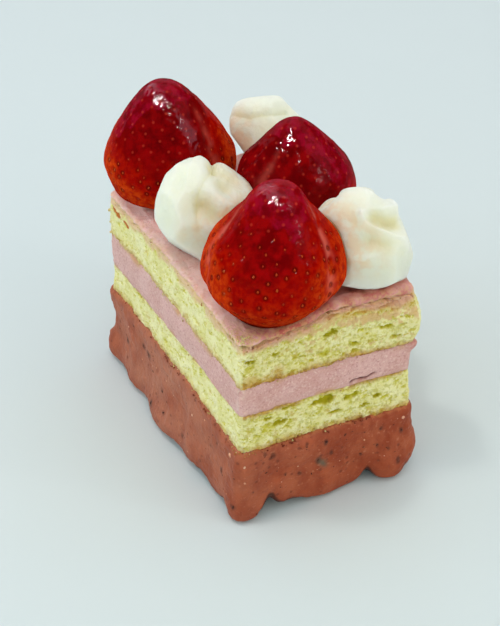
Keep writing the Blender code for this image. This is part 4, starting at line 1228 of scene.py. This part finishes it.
def make_dollop(name, cream):
    """A dollop of cream, flattened where it stands on the cake and where it meets the fruit."""
    elevations = np.linspace(-88, 89.4, CREAM_ROWS)
    bearings = np.linspace(0, 360, CREAM_COLUMNS, endpoint=False)
    elevation, bearing = np.meshgrid(elevations, bearings, indexing="ij")
    ways = direction(bearing, elevation)
    crowd = np.full(ways.shape[:2], cream["radius"] ** -float(FLAT_SHARPNESS))
    for at_bearing, at_elevation, distance in cream["flats"]:
        facing = np.maximum(0, ways @ direction(at_bearing, at_elevation))
        crowd += (facing / distance) ** FLAT_SHARPNESS
    reach = crowd ** (-1 / FLAT_SHARPNESS)
    fold_depth = np.zeros_like(reach)
    for fold, height, width, crisp in cream["folds"]:
        away = degrees_to_fold(ways, fold)
        step = height * (np.exp((1 - np.hypot(away, 1.0)) / width) if crisp else bell(away, width))
        reach += step
        fold_depth += np.maximum(0, -step)
    seed = cream["seed"]
    reach += lumpy(ways * 10, (0.22, 4.5, seed), (0.12, 1.8, seed + 1), (0.05, 0.8, seed + 2))
    on_cake = ways[..., 2] * reach < -cream["middle"]
    reach = np.where(on_cake, -cream["middle"] / np.minimum(ways[..., 2], -1e-6), reach)
    middle = np.array([*cream["at"], standing(cream["at"]) + cream["middle"]])
    points, from_fruit = clear_of_fruit(middle + ways * reach[..., None])
    floor = line_height("cake_top", points) + GAP
    points[..., 2] = np.where(on_cake, floor, np.maximum(points[..., 2], floor))
    # The marks near the fruit carry painted glow reflected from it: pink close by, warm further
    # up.
    return solid(name, points, fold=fold_depth, blush=bell(from_fruit, 1.6),
                 warm=bell(from_fruit, 5.0) * blend(3.0, 9.0, points[..., 2] - floor))


whipped = Finish("whipped cream", 0.55, 0.1, sinks=(0.95, 12.0, (1.0, 0.95, 0.8)))
whipped.cover(whipped.grain(5.0, 2), (225, 227, 205), (221, 226, 208))
# Painted shade in the folds and hollows, beige and darker the deeper they are.
whipped.lay(whipped.ramp(whipped.mark("fold"), 0.4, 1.6, 0, 0.65), (216, 209, 164))
# Painted warm light bounced from the fruit.
warm = whipped.times(whipped.mark("warm"), whipped.patches(3.0, 2, 0.38, 0.60, 0.1, 0.7))
whipped.lay(warm, (226, 194, 150))
# Painted pink glow reflected from the fruit.
whipped.lay(whipped.mark("blush", 0.2), (236, 196, 168))
whipped.raised(whipped.grain(0.8, 3), 0.16)
for name, cream in CREAMS.items():
    placed(make_dollop("piped_cream_" + name, cream), whipped, "cream", "cream_dollop_" + name)


# --- Crumbs ------------------------------------------------------------------------------------
# Crumbs of sponge that the knife left on the coating's rim, along the mousse and on the top
# cream, pale green or toasted golden, and dark red crumbs of coating along its rim.
crumb_chance = np.random.default_rng(95)
# The largest, at the far end of the long face: (distance round the slice, height, size).
LARGEST = [(163.6, 46.4, 1.1), (163.2, 39.4, 1.2), (163.9, 43.0, 0.7)]
# Rows of small ones: (line, count, from and to these distances, spread up and down, how far
# out, sizes, shades).
SPONGE_CRUMBS = [
    ("coating_top", 16, -3.0, 5.0, 0.7, 0.85, (0.3, 0.6), (0.55, 1.0)),
    ("coating_top", 30, 0.0, PERIMETER, 0.35, 0.55, (0.35, 0.8), (0.1, 0.7)),
    ("mousse_bottom", 30, 0.0, PERIMETER, 0.30, 0.3, (0.25, 0.6), (0.1, 0.7)),
    ("mousse_top", 40, 0.0, PERIMETER, 0.30, 0.3, (0.25, 0.6), (0.1, 0.7)),
    ("sponge_top", 60, -6.0, PERIMETER, 0.35, 0.2, (0.25, 0.5), (0.2, 0.8)),
    ("cake_top", 22, -3.5, 3.5, 0.45, -0.4, (0.22, 0.5), (0.0, 0.35)),
    ("cake_top", 24, -3.0, 4.0, 0.12, -1.6, (0.28, 0.6), (0.0, 0.35)),
]
COATING_CRUMBS = [
    ("coating_top", 110, 0.0, PERIMETER, 0.40, 0.75, (0.25, 0.7), (0.2, 1.0)),
    ("coating_top", 20, 5.0, 34.0, 0.35, 0.8, (0.4, 0.9), (0.1, 0.8)),
]


def on_face(travel, outset, height):
    """A place on a cut face, standing out from it by outset, and the way out from it."""
    place, outward = (found[0] for found in rim(np.array([travel])))
    if isinstance(height, str):
        height = line_height(height, place[None])[0]
    return np.array([*(place + outset * outward), height]), np.array([*outward, 0.2])


def crumbs_along(line, count, first, last, spread, outset, sizes, shades):
    """Crumbs at random along a line between layers."""
    made = []
    for turn in range(count):
        at, way = on_face(crumb_chance.uniform(first, last), outset, line)
        at[2] += crumb_chance.normal(0, spread)
        made.append((at, way, crumb_chance.uniform(*sizes), crumb_chance.uniform(0, TURN),
                     crumb_chance.uniform(*shades)))
    return made


def crumb_chip():
    return chip_shape((1.0, 0.8, 0.7), roughness=0.5, seed=23)


crumbs = [spot for row in SPONGE_CRUMBS for spot in crumbs_along(*row)]
crumbs += [(*on_face(travel, 0.4, height), size, 1.0, 0.3) for travel, height, size in LARGEST]
finish = Finish("sponge crumbs", 0.8, 0.1, sinks=(0.3, 0.6))
finish.cover(finish.ramp(finish.mark("shade"), 0.2, 0.9), (222, 206, 140), (158, 98, 44))
scattered("sponge_crumbs", "sponge", finish, crumb_chip(), crumbs, seed=11)

crumbs = [spot for row in COATING_CRUMBS for spot in crumbs_along(*row)]
finish = Finish("coating crumbs", 0.6, 0.1).cover("shade", (112, 44, 28), (150, 74, 44))
scattered("coating_crumbs", "coating", finish, crumb_chip(), crumbs, seed=12)


# --- Table, light and camera -------------------------------------------------------------------
# A plain pale table in a bright soft studio, seen from above the near corner.
TABLE_SIZE = 4000.0
CAMERA_AIM = Vector((-1.22, 0.0, 30.23))
CAMERA_AZIMUTH, CAMERA_ELEVATION, CAMERA_DISTANCE = -27.35, 37.0, 372.0
FOCAL_PIXELS, FRAME_PIXELS, SENSOR = 1500.0, 626.0, 36.0
BACKDROP_STRENGTH = 0.88
# Lamps that light the slice, and others that show only in its gloss: (name, azimuth,
# elevation, distance, its two sizes, watts, colour).
LAMPS = [
    ("left window", -105, 36, 900, 700, 500, 1.40, (236, 244, 255)),
    ("front fill", 15, 25, 900, 500, 400, 0.54, (255, 214, 160)),
    ("low fill", -40, 12, 900, 800, 300, 0.47, (240, 248, 240)),
    ("overhead lamp", -100, 73, 700, 64, 44, 0.7, (255, 252, 246)),
    ("strip lamp", 42, 32, 800, 24, 420, 0.45, (255, 250, 244)),
    ("overhead softbox", 60, 78, 1100, 900, 900, 1.0, (255, 250, 244)),
]
LAMPS_IN_THE_GLAZE = [
    ("lamp in the glaze", -92, 63, 700, 28, 290, 10.0, (255, 236, 240)),
    ("second lamp in the glaze", -15, 58, 800, 50, 50, 3.0, (255, 252, 246)),
    ("third lamp in the glaze", 32, 33, 800, 50, 90, 0.4, (255, 252, 246)),
    ("ceiling in the glaze", 153, 68, 700, 900, 700, 5.5, (255, 212, 234)),
    ("back wall in the glaze", 170, 22, 800, 1500, 500, 5.5, (255, 212, 234)),
    ("right wall in the glaze", 58, 40, 800, 900, 500, 3.2, (255, 212, 234)),
]

scene = bpy.context.scene
scene.view_settings.view_transform = "Standard"
scene.view_settings.look = "None"

half = TABLE_SIZE / 2
table = of_mesh("table", [(-half, -half, 0), (half, -half, 0), (half, half, 0), (-half, half, 0)],
                [(0, 1, 2, 3)])
table_top = Finish("pale table", 0.9, 0.2)
table_top.sockets["Base Color"].default_value = screen(207, 218, 217)
table.data.materials.append(table_top.material)

world = bpy.data.worlds.new("studio")
scene.world = world
world.use_nodes = True
backdrop = world.node_tree.nodes["Background"]
backdrop.inputs["Color"].default_value = screen(236, 243, 247)
backdrop.inputs["Strength"].default_value = BACKDROP_STRENGTH
world.cycles_visibility.glossy = False


def aimed(thing, azimuth, elevation, distance):
    """Stand a lamp or the camera round the slice, and aim it where the camera looks."""
    a, e = math.radians(azimuth), math.radians(elevation)
    back = Vector((math.sin(a) * math.cos(e), -math.cos(a) * math.cos(e), math.sin(e)))
    thing.location = (CAMERA_AIM + back * distance) * MM
    thing.rotation_euler = (CAMERA_AIM * MM - thing.location).to_track_quat("-Z", "Y").to_euler()


for mirrored, lamps in ((False, LAMPS), (True, LAMPS_IN_THE_GLAZE)):
    for name, azimuth, elevation, distance, size_x, size_y, watts, colour in lamps:
        data = bpy.data.lights.new(name, "AREA")
        data.shape, data.size, data.size_y = "RECTANGLE", size_x * MM, size_y * MM
        data.energy = watts
        data.color = screen(*colour)[:3]
        lamp = in_scene(name, data)
        aimed(lamp, azimuth, elevation, distance)
        lamp.visible_glossy, lamp.visible_diffuse = mirrored, not mirrored

camera_data = bpy.data.cameras.new("camera")
camera_data.sensor_width = SENSOR
camera_data.lens = FOCAL_PIXELS / FRAME_PIXELS * SENSOR
camera = in_scene("camera", camera_data)
aimed(camera, CAMERA_AZIMUTH, CAMERA_ELEVATION, CAMERA_DISTANCE)
scene.camera = camera
